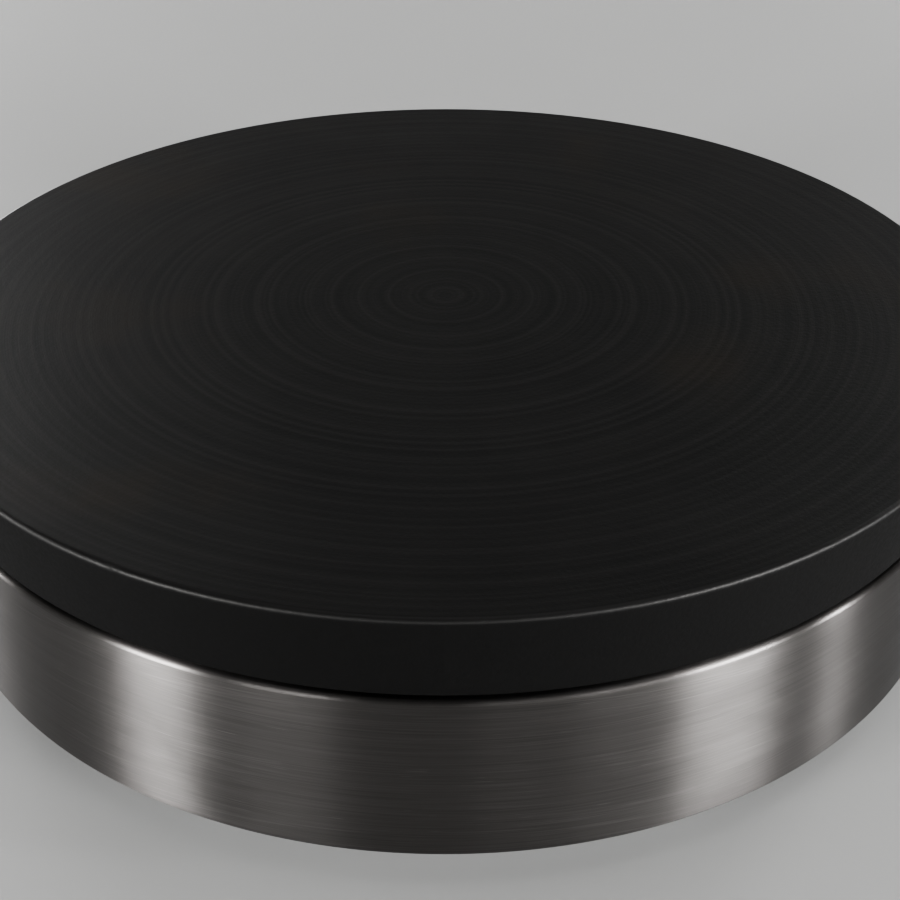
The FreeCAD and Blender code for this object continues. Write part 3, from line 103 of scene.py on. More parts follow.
# Fine marks that only the looks need
turning_pitch = 0.9 * MM
lens_rib_pitch = 0.8 * MM
thread_depth = 0.62 * MM

# The dial's print
dial_first_angle = math.radians(-135)
dial_step_angle = math.radians(45)
dial_numbers = ("0", "1", "2", "3", "4", "5", "6")
ink_height = 0.05 * MM

# Camera, fitted to the plate's rim and the drum's edges in the photograph
camera_lens = 65.34
camera_distance = 0.660
camera_elevation = math.radians(32.26)
camera_side = 0.0017
camera_drop = 0.070

# The standing soft boxes: azimuths from and to in degrees, and watts for each degree
strip_distance = 2.1
strip_height = 0.5
standing_strips = (
    ("left_edge", -113, -91, 1.2),
    ("left_key", -59.5, -48, 5.6),
    ("left_fill", -37, -20, 0.52),
    ("right_faint", 6, 24, 0.12),
    ("right_fill", 24, 42, 0.36),
    ("right_key", 44.5, 61, 4.8),
    ("right_edge", 74.5, 79, 5.0),
    ("rear_left", -150, -136, 3.2),
    ("rear_right", 126, 142, 3.2),
)


def add(tree, kind, inputs=None, **settings):
    """Adds a node, sets its properties, and fills or links its inputs."""
    made = tree.nodes.new(kind)
    for name, value in settings.items():
        setattr(made, name, value)
    for name, value in (inputs or {}).items():
        socket = made.inputs[name]
        if isinstance(value, bpy.types.NodeSocket):
            tree.links.new(value, socket)
        else:
            socket.default_value = value
    return made


def rgb(value, green=None, blue=None):
    """A colour for a socket, grey where only one value is given."""
    if green is None:
        return (value, value, value, 1)
    return (value, green, blue, 1)


def object_place(tree):
    """The place on the object, in metres of the model's frame."""
    return add(tree, "ShaderNodeTexCoord").outputs["Object"]


def stretched(tree, vector, x, y, z):
    """A place with its three axes scaled."""
    return add(tree, "ShaderNodeVectorMath", {0: vector, 1: (x, y, z)}, operation="MULTIPLY").outputs[0]


def calc(tree, operation, first, second=0.0):
    """One arithmetic step."""
    return add(tree, "ShaderNodeMath", {0: first, 1: second}, operation=operation).outputs[0]


def noise(tree, vector, scale, detail=4.0, roughness=0.55, distortion=0.0):
    """Fractal noise from 0 to 1."""
    made = add(tree, "ShaderNodeTexNoise", {"Vector": vector, "Scale": scale, "Detail": detail,
                                            "Roughness": roughness, "Distortion": distortion})
    return made.outputs["Fac"]


def span(tree, value, low, high, out_low=0.0, out_high=1.0, smooth=True):
    """Maps one range onto another, clamped at both ends."""
    made = add(tree, "ShaderNodeMapRange", {"Value": value, "From Min": low, "From Max": high,
                                            "To Min": out_low, "To Max": out_high},
               interpolation_type="SMOOTHSTEP" if smooth else "LINEAR")
    return made.outputs[0]


def blend_colour(tree, factor, first, second):
    """Mixes two colours."""
    made = add(tree, "ShaderNodeMix", data_type="RGBA")
    for index, value in ((0, factor), (6, first), (7, second)):
        if isinstance(value, bpy.types.NodeSocket):
            tree.links.new(value, made.inputs[index])
        else:
            made.inputs[index].default_value = value
    return made.outputs[2]


def bump(tree, height, depth, strength=1.0, normal=None):
    """A bump of that depth in metres."""
    inputs = {"Height": height, "Distance": depth, "Strength": strength}
    if normal is not None:
        inputs["Normal"] = normal
    return add(tree, "ShaderNodeBump", inputs).outputs[0]


def axes(tree, vector):
    """The x, y and z of a place, and its distance from the plate's axis."""
    parts = add(tree, "ShaderNodeSeparateXYZ", {0: vector}).outputs
    flat = stretched(tree, vector, 1, 1, 0)
    radius = add(tree, "ShaderNodeVectorMath", {0: flat}, operation="LENGTH").outputs["Value"]
    return parts[0], parts[1], parts[2], radius


def new_material(name, **constants):
    """A node material. The constants go straight onto the shader's own sockets."""
    material = bpy.data.materials.new(name)
    material.use_nodes = True
    tree = material.node_tree
    shader = tree.nodes["Principled BSDF"]
    for socket, value in constants.items():
        shader.inputs[socket.replace("_", " ")].default_value = value
    return material, tree, shader


def finish_shader(tree, shader, colour=None, roughness=None, normal=None, metallic=None):
    """Links what varies over the surface into the shader."""
    links = {"Base Color": colour, "Roughness": roughness, "Normal": normal, "Metallic": metallic}
    for socket, value in links.items():
        if value is not None:
            tree.links.new(value, shader.inputs[socket])


def seasoned_iron():
    """Cast iron under baked-on seasoning: turned on top, cast grain on the skirt, a rubbed edge."""
    material, tree, shader = new_material("seasoned_iron", Specular_IOR_Level=0.11)
    place = object_place(tree)
    z, radius = axes(tree, place)[2:]
    on_top = span(tree, z, plate_top - 0.9 * MM, plate_top - 0.2 * MM)

    # Seasoning: large soft patches, and a ring that batter and scraper have polished
    patches = noise(tree, place, 22.0, 5.0, 0.6, 0.4)
    rings = noise(tree, add(tree, "ShaderNodeCombineXYZ", {0: radius, 1: 0.0, 2: 0.0}).outputs[0],
                  260.0, 5.0, 0.65)
    wiped = noise(tree, place, 9.0, 3.0, 0.5, 1.2)
    polished = calc(tree, "MULTIPLY", rings, wiped)
    grain = noise(tree, place, 1500.0, 3.0, 0.6)
    cast = noise(tree, place, 620.0, 4.0, 0.62)

    cool = blend_colour(tree, patches, rgb(0.0052, 0.0052, 0.0054), rgb(0.0130, 0.0126, 0.0120))
    lines = span(tree, rings, 0.42, 0.66, 0.0, 0.45)
    cool = blend_colour(tree, lines, cool, rgb(0.0230, 0.0225, 0.0215))
    warm = span(tree, noise(tree, place, 13.0, 4.0, 0.55), 0.52, 0.75, 0.0, 0.5)
    top_colour = blend_colour(tree, warm, cool, rgb(0.0210, 0.0165, 0.0120))
    skirt_colour = blend_colour(tree, cast, rgb(0.0009, 0.0009, 0.0009), rgb(0.0024, 0.0023, 0.0022))
    colour = blend_colour(tree, on_top, skirt_colour, top_colour)

    # The rounded edge, where towels and spreaders rub the seasoning to a grey sheen
    out = calc(tree, "SUBTRACT", radius, plate_radius - plate_edge_round - 0.3 * MM)
    up = calc(tree, "SUBTRACT", z, plate_top - plate_edge_round)
    edge = span(tree, calc(tree, "MINIMUM", out, up), 0.3 * MM, 1.2 * MM)
    breaks = span(tree, noise(tree, place, 70.0, 5.0, 0.7), 0.24, 0.42)
    worn = calc(tree, "MULTIPLY", edge, breaks)
    colour = blend_colour(tree, worn, colour, rgb(0.030, 0.0295, 0.029))

    top_rough = span(tree, polished, 0.12, 0.42, 0.58, 0.47, smooth=False)
    skirt_rough = span(tree, cast, 0.3, 0.7, 0.62, 0.74)
    rough = add(tree, "ShaderNodeMix", {0: on_top, 2: skirt_rough, 3: top_rough}).outputs[0]
    rough = add(tree, "ShaderNodeMix", {0: worn, 2: rough, 3: 0.46}).outputs[0]

    # Turning marks on the cooking face, cast grain everywhere
    turned = calc(tree, "SINE", calc(tree, "MULTIPLY", radius, 2 * math.pi / turning_pitch))
    turned = calc(tree, "MULTIPLY", turned, span(tree, wiped, 0.35, 0.65, 0.15, 1.0))
    turned = calc(tree, "MULTIPLY", turned, on_top)
    normal = bump(tree, cast, 0.16 * MM, 0.55)
    normal = bump(tree, grain, 0.05 * MM, 0.55, normal)
    normal = bump(tree, turned, 0.0035 * MM, 0.6, normal)
    finish_shader(tree, shader, colour, rough, normal, worn)
    return material


def brushed_drum():
    """Stainless sheet brushed along the band, with longer scratches and a few dull smears."""
    material, tree, shader = new_material("brushed_drum", Metallic=1.0, Anisotropic=0.97,
                                          Anisotropic_Rotation=0.25)
    place = object_place(tree)
    x, y, z = axes(tree, place)[:3]
    fine = noise(tree, stretched(tree, place, 22, 22, 5200), 1.0, 3.0, 0.6)
    coarse = noise(tree, stretched(tree, place, 9, 9, 1500), 1.0, 4.0, 0.65)
    strokes = noise(tree, stretched(tree, place, 55, 55, 2600), 1.0, 2.0, 0.5)
    smears = noise(tree, stretched(tree, place, 1, 1, 2.2), 17.0, 4.0, 0.6, 0.8)

    # Wiping marks: slightly arched lines across the brushing, only in some patches
    arch = calc(tree, "ADD", z, calc(tree, "MULTIPLY", calc(tree, "MULTIPLY", y, y), 0.55))
    arched = add(tree, "ShaderNodeCombineXYZ", {0: x, 1: y, 2: arch}).outputs[0]
    wipes = noise(tree, stretched(tree, arched, 14, 14, 1500), 1.0, 2.0, 0.5)
    wipes = calc(tree, "MULTIPLY", span(tree, wipes, 0.56, 0.72), span(tree, smears, 0.42, 0.6))
    shade = calc(tree, "ADD", calc(tree, "MULTIPLY", fine, 0.7), calc(tree, "MULTIPLY", coarse, 0.3))
    colour = blend_colour(tree, span(tree, shade, 0.32, 0.68), rgb(0.082, 0.078, 0.076),
                          rgb(0.116, 0.110, 0.107))
    colour = blend_colour(tree, calc(tree, "MULTIPLY", wipes, 0.5), colour, rgb(0.142, 0.136, 0.132))
    scratch = span(tree, strokes, 0.70, 0.78)
    colour = blend_colour(tree, calc(tree, "MULTIPLY", scratch, 0.4), colour, rgb(0.22, 0.21, 0.205))
    rough = span(tree, smears, 0.3, 0.75, 0.29, 0.335)
    normal = bump(tree, coarse, 0.006 * MM, 0.3)
    normal = bump(tree, fine, 0.004 * MM, 0.35, normal)
    tangent = add(tree, "ShaderNodeTangent", direction_type="RADIAL", axis="Z").outputs[0]
    tree.links.new(tangent, shader.inputs["Tangent"])
    finish_shader(tree, shader, colour, rough, normal)
    return material


def sheet_metal(name, light, dark, rough_low, rough_high, grain_axis=(6, 1200, 1200)):
    """Rolled sheet with a faint grain and dull patches."""
    material, tree, shader = new_material(name, Metallic=1.0)
    place = object_place(tree)
    grain = noise(tree, stretched(tree, place, *grain_axis), 1.0, 3.0, 0.6)
    patches = noise(tree, place, 60.0, 4.0, 0.6)
    colour = blend_colour(tree, span(tree, grain, 0.3, 0.7), rgb(*dark), rgb(*light))
    colour = blend_colour(tree, span(tree, patches, 0.5, 0.75, 0.0, 0.35), colour, rgb(*dark))
    rough = span(tree, patches, 0.3, 0.7, rough_low, rough_high)
    normal = bump(tree, grain, 0.01 * MM, 0.4)
    finish_shader(tree, shader, colour, rough, normal)
    return material


def zinc_plating():
    """Bright zinc on screws, nuts and studs."""
    material, tree, shader = new_material("zinc_plating", Metallic=1.0)
    place = object_place(tree)
    mottle = noise(tree, place, 420.0, 4.0, 0.6)
    wear = noise(tree, place, 90.0, 3.0, 0.6)
    colour = blend_colour(tree, mottle, rgb(0.30, 0.31, 0.32), rgb(0.46, 0.46, 0.45))
    colour = blend_colour(tree, span(tree, wear, 0.58, 0.72, 0.0, 0.4), colour, rgb(0.40, 0.37, 0.30))
    rough = span(tree, mottle, 0.3, 0.7, 0.30, 0.42)
    finish_shader(tree, shader, colour, rough, bump(tree, mottle, 0.02 * MM, 0.4))
    return material


def element_sheath():
    """Alloy sheath, blued and browned by heat."""
    material, tree, shader = new_material("element_sheath", Metallic=1.0)
    place = object_place(tree)
    heat = noise(tree, place, 45.0, 4.0, 0.6)
    fine = noise(tree, place, 900.0, 3.0, 0.6)
    colour = blend_colour(tree, heat, rgb(0.16, 0.14, 0.12), rgb(0.26, 0.25, 0.27))
    colour = blend_colour(tree, span(tree, fine, 0.4, 0.7, 0.0, 0.5), colour, rgb(0.10, 0.095, 0.09))
    finish_shader(tree, shader, colour, span(tree, fine, 0.3, 0.7, 0.45, 0.6),
                  bump(tree, fine, 0.03 * MM, 0.5))
    return material


def moulded_plastic(name, light, dark, rough_low, rough_high, grain_scale, grain_depth, specular=0.5):
    """Moulded plastic with a spark-eroded grain, and rubbed patches."""
    material, tree, shader = new_material(name, Specular_IOR_Level=specular)
    place = object_place(tree)
    pits = add(tree, "ShaderNodeTexVoronoi", {"Vector": place, "Scale": grain_scale},
               feature="SMOOTH_F1").outputs["Distance"]
    fine = noise(tree, place, grain_scale * 1.4, 3.0, 0.6)
    rubbed = noise(tree, place, 75.0, 4.0, 0.55)
    colour = blend_colour(tree, span(tree, rubbed, 0.3, 0.7), rgb(*dark), rgb(*light))
    rough = span(tree, rubbed, 0.35, 0.7, rough_low, rough_high)
    height = calc(tree, "ADD", pits, calc(tree, "MULTIPLY", fine, 0.6))
    finish_shader(tree, shader, colour, rough, bump(tree, height, grain_depth, 0.6))
    return material


def foot_rubber(name, base):
    """Black rubber, greyed by dust."""
    material, tree, shader = new_material(name, Specular_IOR_Level=0.3)
    place = object_place(tree)
    fine = noise(tree, place, 1300.0, 3.0, 0.6)
    dust = noise(tree, place, 140.0, 5.0, 0.6)
    colour = blend_colour(tree, span(tree, dust, 0.45, 0.75, 0.0, 0.6), rgb(base), rgb(base * 2.6))
    finish_shader(tree, shader, colour, span(tree, dust, 0.3, 0.7, 0.62, 0.82),
                  bump(tree, fine, 0.04 * MM, 0.5))
    return material


def lamp_plastic(name, node, deep, bright):
    """A lamp's lens: tinted clear plastic, with painted shade that darkens it towards its rim."""
    material, tree, shader = new_material(name, IOR=1.49, Transmission_Weight=0.35,
                                          Coat_Weight=0.5, Coat_Roughness=0.08)
    place = object_place(tree)
    low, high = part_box(node)
    clouds = noise(tree, place, 300.0, 2.0, 0.5)
    middle = tuple((low + high) / 2)
    off = add(tree, "ShaderNodeVectorMath", {0: place, 1: middle}, operation="SUBTRACT").outputs[0]
    flat = stretched(tree, off, 1, 0, 1)
    from_middle = add(tree, "ShaderNodeVectorMath", {0: flat}, operation="LENGTH").outputs["Value"]
    lens_radius = (high.x - low.x) / 2
    # Painted shade: the lens's colour darkens from its middle towards its rim
    colour = blend_colour(tree, span(tree, from_middle, 0.35 * lens_radius, lens_radius),
                          rgb(*bright), rgb(*deep))
    colour = blend_colour(tree, span(tree, clouds, 0.3, 0.7, 0.0, 0.25), colour, rgb(*deep))
    ribs = calc(tree, "MULTIPLY", axes(tree, place)[0], 2 * math.pi / lens_rib_pitch)
    ribs = calc(tree, "SINE", ribs)
    finish_shader(tree, shader, colour, span(tree, clouds, 0.3, 0.7, 0.10, 0.2),
                  bump(tree, ribs, 0.03 * MM, 0.4))
    return material


def mineral_wool():
    """Felted fibres."""
    material, tree, shader = new_material("mineral_wool", Sheen_Weight=0.3)
    place = object_place(tree)
    fibres = noise(tree, stretched(tree, place, 1, 1, 3), 380.0, 6.0, 0.75, 1.5)
    tufts = noise(tree, place, 60.0, 4.0, 0.6)
    colour = blend_colour(tree, fibres, rgb(0.45, 0.41, 0.33), rgb(0.78, 0.74, 0.65))
    colour = blend_colour(tree, span(tree, tufts, 0.5, 0.8, 0.0, 0.4), colour, rgb(0.50, 0.44, 0.33))
    finish_shader(tree, shader, colour, span(tree, fibres, 0.3, 0.7, 0.85, 0.98),
                  bump(tree, fibres, 0.8 * MM, 0.8))
    return material


def glazed_ceramic():
    """White steatite beads."""
    material, tree, shader = new_material("glazed_ceramic", Coat_Weight=0.3, Coat_Roughness=0.1)
    place = object_place(tree)
    specks = noise(tree, place, 700.0, 3.0, 0.6)
    colour = blend_colour(tree, span(tree, specks, 0.6, 0.75), rgb(0.80, 0.77, 0.70),
                          rgb(0.62, 0.57, 0.48))
    finish_shader(tree, shader, colour, span(tree, specks, 0.3, 0.7, 0.30, 0.4),
                  bump(tree, specks, 0.02 * MM, 0.3))
    return material


def wire_sleeve():
    """Silicone-sleeved wire."""
    material, tree, shader = new_material("wire_sleeve", Specular_IOR_Level=0.4)
    place = object_place(tree)
    fine = noise(tree, place, 800.0, 3.0, 0.6)
    colour = blend_colour(tree, fine, rgb(0.34, 0.05, 0.04), rgb(0.48, 0.09, 0.07))
    finish_shader(tree, shader, colour, span(tree, fine, 0.3, 0.7, 0.45, 0.6),
                  bump(tree, fine, 0.03 * MM, 0.4))
    return material


def printed_ink(name, light, dark):
    """Screen-printed ink with a slightly uneven coat."""
    material, tree, shader = new_material(name, Specular_IOR_Level=0.35)
    place = object_place(tree)
    coat = noise(tree, place, 1600.0, 3.0, 0.6)
    colour = blend_colour(tree, span(tree, coat, 0.35, 0.65), rgb(dark), rgb(light))
    finish_shader(tree, shader, colour, span(tree, coat, 0.3, 0.7, 0.5, 0.65),
                  bump(tree, coat, 0.01 * MM, 0.4))
    return material


materials = {
    "griddle_iron": seasoned_iron(),
    "drum_steel": brushed_drum(),
    "base_steel": sheet_metal("zinc_sheet", (0.58, 0.59, 0.60), (0.40, 0.41, 0.42), 0.30, 0.45),
    "tray_steel": sheet_metal("aluminised_sheet", (0.70, 0.70, 0.70), (0.52, 0.52, 0.52), 0.34, 0.5),
    "fasteners": zinc_plating(),
    "element_sheath": element_sheath(),
    "ceramic": glazed_ceramic(),
    "insulation": mineral_wool(),
    "foot_rubber": foot_rubber("foot_rubber", 0.012),
    "panel_plastic": moulded_plastic("panel_plastic", (0.020, 0.020, 0.021), (0.014, 0.014, 0.015),
                                     0.48, 0.60, 2100.0, 0.05 * MM),
    "knob_plastic": moulded_plastic("knob_plastic", (0.018, 0.018, 0.019), (0.012, 0.012, 0.012),
                                    0.34, 0.46, 3000.0, 0.02 * MM),
    "rocker_plastic": moulded_plastic("rocker_plastic", (0.014, 0.014, 0.015), (0.010, 0.010, 0.010),
                                      0.16, 0.26, 2600.0, 0.006 * MM),
    "green_lens": lamp_plastic("green_lens", "power_lamp_lens", (0.004, 0.10, 0.02),
                               (0.03, 0.42, 0.09)),
    "amber_lens": lamp_plastic("amber_lens", "heat_lamp_lens", (0.30, 0.07, 0.004),
                               (0.85, 0.33, 0.03)),
    "gland_plastic": moulded_plastic("gland_plastic", (0.020, 0.020, 0.021), (0.013, 0.013, 0.014),
                                     0.34, 0.48, 1500.0, 0.03 * MM),
    "seal_rubber": foot_rubber("seal_rubber", 0.02),
    "terminal_brass": sheet_metal("terminal_brass", (0.78, 0.60, 0.28), (0.60, 0.43, 0.18), 0.28, 0.42),
    "capillary_copper": sheet_metal("capillary_copper", (0.72, 0.40, 0.26), (0.50, 0.27, 0.17),
                                    0.3, 0.45),
    "block_plastic": moulded_plastic("block_plastic", (0.74, 0.73, 0.69), (0.66, 0.65, 0.61),
                                     0.45, 0.6, 1200.0, 0.03 * MM),
    "wire_sleeve": wire_sleeve(),
}
white_ink = printed_ink("white_ink", 0.72, 0.60)
front = Matrix.Translation((0, 0, control_z)) @ Matrix.Rotation(math.radians(90), 4, "X")


def smooth_piece(name, sheet, material, body, crease=40):
    """Makes a piece that rides a body from a bmesh, smooth except at its creases."""
    bmesh.ops.remove_doubles(sheet, verts=sheet.verts, dist=0.0002 * MM)
    bmesh.ops.recalc_face_normals(sheet, faces=sheet.faces)
    mesh = bpy.data.meshes.new(name)
    sheet.to_mesh(mesh)
    sheet.free()
    mesh.shade_smooth()
    mesh.set_sharp_from_angle(angle=math.radians(crease))
    mesh.materials.append(material)
    piece = bpy.data.objects.new(name, mesh)
    bpy.context.scene.collection.objects.link(piece)
    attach(piece, body)
    return piece


def rounded(corners, steps=6):
    """Points of a closed outline of (radius, height, corner radius), all in millimetres."""
    points = []
    count = len(corners)
    for i, (u, v, radius) in enumerate(corners):
        here = Vector((u, v))
        if not radius:
            points.append(here * MM)
            continue
        to_before = (Vector(corners[i - 1][:2]) - here).normalized()
        to_after = (Vector(corners[(i + 1) % count][:2]) - here).normalized()
        half = to_before.angle(to_after) / 2
        centre = here + (to_before + to_after).normalized() * (radius / math.sin(half))
        start = here + to_before * (radius / math.tan(half)) - centre
        end = here + to_after * (radius / math.tan(half)) - centre
        for k in range(steps + 1):
            arm = start.slerp(end, k / steps).normalized()
            points.append((centre + arm * radius) * MM)
    return points


def lathe(sheet, outline, segments, x=0.0, y=0.0):
    """Turns a closed outline about an upright axis."""
    rings = []
    for k in range(segments):
        angle = 2 * math.pi * k / segments
        c = math.cos(angle)
        s = math.sin(angle)
        rings.append([sheet.verts.new((x + p.x * c, y + p.x * s, p.y)) for p in outline])
    for ring, following in zip(rings, rings[1:] + rings[:1]):
        for j in range(len(outline)):
            k = (j + 1) % len(outline)
            sheet.faces.new((ring[j], following[j], following[k], ring[k]))


def carved(sheet, cutter):
    """Cuts one bmesh out of another."""
    holders = []
    for shape in (sheet, cutter):
        bmesh.ops.remove_doubles(shape, verts=shape.verts, dist=0.0002 * MM)
        bmesh.ops.recalc_face_normals(shape, faces=shape.faces)
        mesh = bpy.data.meshes.new("blank")
        shape.to_mesh(mesh)
        shape.free()
        holder = bpy.data.objects.new("blank", mesh)
        bpy.context.scene.collection.objects.link(holder)
        holders.append(holder)
    cut = holders[0].modifiers.new("cut", "BOOLEAN")
    cut.operation = "DIFFERENCE"
    cut.solver = "EXACT"
    cut.object = holders[1]
    made = bmesh.new()
    made.from_object(holders[0], bpy.context.evaluated_depsgraph_get())
    for holder in holders:
        bpy.data.objects.remove(holder)
    return made


def prism(sheet, corners, low, high):
    """A flat outline of (x, y) points made solid between two heights."""
    bottom = [sheet.verts.new((p[0], p[1], low)) for p in corners]
    top = [sheet.verts.new((p[0], p[1], high)) for p in corners]
    sheet.faces.new(list(reversed(bottom)))
    sheet.faces.new(top)
    for j in range(len(corners)):
        k = (j + 1) % len(corners)
        sheet.faces.new((bottom[j], bottom[k], top[k], top[j]))
    return bottom + top


def drum_outline():
    """The rolled sheet's closed section, with a row of points at each opening's edges."""
    low = drum_low.z / MM
    high = drum_high.z / MM
    outer = drum_radius / MM
    sheet = drum_sheet / MM
    bend = drum_bend / MM
    inner = outer - sheet
    lip = outer - drum_lip / MM
    rows = sorted([
        (control_z - window_half_height) / MM,
        (control_z + window_half_height) / MM,
        (gland_z - gland_hole_half) / MM,
        (gland_z + gland_hole_half) / MM,
    ])
    return rounded(
        [(lip, low, 0), (outer, low, bend)] + [(outer, row, 0) for row in rows]
        + [(outer, high, bend), (lip, high, 0)]
        + [(lip, high - sheet, 0), (inner, high - sheet, bend - sheet)]
        + [(inner, row, 0) for row in reversed(rows)]
        + [(inner, low + sheet, bend - sheet), (lip, low + sheet, 0)], 8)


def open_drum(made):
    """Takes out the panel's window and the gland's hole, and closes the sheet's cut edges."""
    gone = {"front": [], "rear": []}
    for face in made.faces:
        centre = face.calc_center_median()
        if math.hypot(centre.x, centre.y) < drum_radius - 2 * drum_sheet:
            continue
        off_front = abs(math.atan2(centre.x, -centre.y))
        off_rear = abs(math.atan2(centre.x, centre.y))
        if off_front < window_half_angle and abs(centre.z - control_z) < window_half_height:
            gone["front"].append(face)
        if off_rear < gland_hole_half_angle and abs(centre.z - gland_z) < gland_hole_half:
            gone["rear"].append(face)
    for faces in gone.values():
        rim = {edge for face in faces for edge in face.edges}
        bmesh.ops.delete(made, geom=faces, context="FACES")
        rim = [edge for edge in rim if edge.is_valid and edge.is_boundary]
        bmesh.ops.bridge_loops(made, edges=rim)


def steel_drum():
    """The rolled drum with its turned-in flanges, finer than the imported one."""
    made = bmesh.new()
    lathe(made, drum_outline(), 288)
    open_drum(made)
    piece = smooth_piece("drum_band", made, materials["drum_steel"], "appliance")
    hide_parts("casing_drum")


def printed_number(text, angle):
    """One of the dial's numbers as a thin solid, lying flat at its place round the knob."""
    radius = knob_radius + 4.5 * MM
    curve = bpy.data.curves.new("number", "FONT")
    curve.body = text
    curve.size = 3.9 * MM
    curve.align_x = "CENTER"
    curve.align_y = "CENTER"
    curve.extrude = ink_height
    curve.resolution_u = 5
    holder = bpy.data.objects.new("number", curve)
    mesh = bpy.data.meshes.new_from_object(holder)
    spot = (radius * math.sin(angle), radius * math.cos(angle), panel_face)
    mesh.transform(Matrix.Translation(spot))
    bpy.data.objects.remove(holder)
    return mesh


def dial_marks():
    """Ticks and numbers printed round the knob."""
    sheet = bmesh.new()
    low = panel_face - ink_height
    high = panel_face + ink_height
    steps = 3 * (len(dial_numbers) - 1)
    for n in range(steps + 1):
        angle = dial_first_angle + n * dial_step_angle / 3
        outward = Vector((math.sin(angle), math.cos(angle)))
        long = n % 3 == 0
        start = outward * (knob_radius + 0.8 * MM)
        end = outward * (knob_radius + (2.5 if long else 1.8) * MM)
        side = Vector((-outward.y, outward.x)) * (0.19 if long else 0.13) * MM
        prism(sheet, (start - side, end - side, end + side, start + side), low, high)
    for n, text in enumerate(dial_numbers):
        sheet.from_mesh(printed_number(text, dial_first_angle + n * dial_step_angle))
    bmesh.ops.transform(sheet, matrix=front, verts=sheet.verts)
    smooth_piece("dial_print", sheet, white_ink, "appliance", 20)


def pointer_inlay():
    """The white line laid in the knob's groove."""
    sheet = bmesh.new()
    half = 0.66 * MM
    edge = prism(sheet, ((-half, 4.62 * MM), (half, 4.62 * MM), (half, 12.5 * MM), (-half, 12.5 * MM)),
                 knob_front - 0.6 * MM, knob_front - 0.06 * MM)
    top = [e for e in sheet.edges if all(v in edge[4:] for v in e.verts)]
    bmesh.ops.bevel(sheet, geom=top, offset=0.16 * MM, segments=3, affect="EDGES", profile=0.5)
    turn = front @ Matrix.Rotation(knob_rest_angle, 4, "Z")
    bmesh.ops.transform(sheet, matrix=turn, verts=sheet.verts)
    smooth_piece("pointer_inlay", sheet, white_ink, "knob")


def rocker_marks():
    """The line and the ring on the rocker's two halves, laid on its surface."""
    node = frame["nodes"]["switch_rocker"]
    tree = BVHTree.FromPolygons([v.co for v in node.data.vertices],
                                [tuple(p.vertices) for p in node.data.polygons])
    middle = (rocker_low.x + rocker_high.x) / 2
    sheet = bmesh.new()
    rise = 5.4 * MM
    half_wide = 0.28 * MM
    half_tall = 1.7 * MM
    rows = [rise - half_tall + k * half_tall / 4 for k in range(9)]
    line = [[(-half_wide, v), (half_wide, v)] for v in rows]
    ring = [[(r * math.cos(a), -rise + r * math.sin(a)) for r in (1.25 * MM, 1.8 * MM)]
            for a in (2 * math.pi * k / 40 for k in range(41))]
    for strip in (line, ring):
        levels = []
        for pair in strip:
            row = []
            for u, v in pair:
                start = Vector((middle + u, -1, control_z + v))
                hit = tree.ray_cast(start, Vector((0, 1, 0)))[0]
                for lift in (-ink_height, ink_height):
                    row.append(sheet.verts.new(hit - Vector((0, lift, 0))))
            levels.append(row)
        for first, second in zip(levels, levels[1:]):
            for j, k in ((0, 1), (1, 3), (3, 2), (2, 0)):
                sheet.faces.new((first[j], first[k], second[k], second[j]))
        if strip is line:
            for row in (levels[0], levels[-1]):
                sheet.faces.new((row[0], row[1], row[3], row[2]))
    smooth_piece("rocker_print", sheet, white_ink, "rocker", 30)


def cross_recess(sheet, depth):
    """The cutter of a cross recess, pointing up from z = 0."""
    for long, wide in ((2.1 * MM, 0.42 * MM), (0.42 * MM, 2.1 * MM)):
        verts = prism(sheet, ((-long, -wide), (long, -wide), (long, wide), (-long, wide)), -MM, depth)
        for vert in verts[4:]:
            vert.co.x *= 0.55
            vert.co.y *= 0.55


def base_screws():
    """Pan-head screws with a cross recess, driven from below."""
    head_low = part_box("base_screws")[0].z / MM
    seat = base_low.z / MM
    blank = bmesh.new()
    lathe(blank, rounded([
        (0, head_low, 0), (3.8, head_low, 1.5), (3.8, seat, 0), (2.0, seat, 0), (2.0, seat + 9, 0.4),
        (0, seat + 9, 0),
    ]), 32)
    cutter = bmesh.new()
    cross_recess(cutter, 1.3 * MM)
    bmesh.ops.translate(cutter, vec=(0, 0, head_low * MM), verts=cutter.verts)
    screw = carved(blank, cutter)
    model = bpy.data.meshes.new("screw")
    screw.to_mesh(model)
    screw.free()
    group = bmesh.new()
    circle = drum_radius - screw_circle_inset
    for n in range(8):
        angle = math.radians(22.5 + 45 * n)
        turn = Matrix.Translation((circle * math.cos(angle), circle * math.sin(angle), 0))
        before = set(group.verts)
        group.from_mesh(model)
        fresh = [v for v in group.verts if v not in before]
        bmesh.ops.transform(group, matrix=turn @ Matrix.Rotation(angle * 3.7, 4, "Z"), verts=fresh)
    piece = smooth_piece("base_cross_screws", group, materials["fasteners"],
                         "appliance", 35)
    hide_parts("base_screws")


def chamfered_hexagon():
    """The stud's collar, with its corners turned off."""
    crown = bmesh.new()
    reach = hexagon_across / math.sqrt(3) * MM
    corners = [(reach * math.cos(math.pi / 3 * k), reach * math.sin(math.pi / 3 * k)) for k in range(6)]
    prism(crown, corners, hexagon_low * MM, hexagon_high * MM)
    cutter = bmesh.new()
    lathe(cutter, [Vector(p) * MM for p in ((6.35, 6.2), (9, 6.2), (9, 10.8), (6.35, 10.8),
                                           (7.9, 9.9), (7.9, 7.1))], 48)
    hexagon = carved(crown, cutter)
    mesh = bpy.data.meshes.new("hexagon")
    hexagon.to_mesh(mesh)
    hexagon.free()
    return mesh


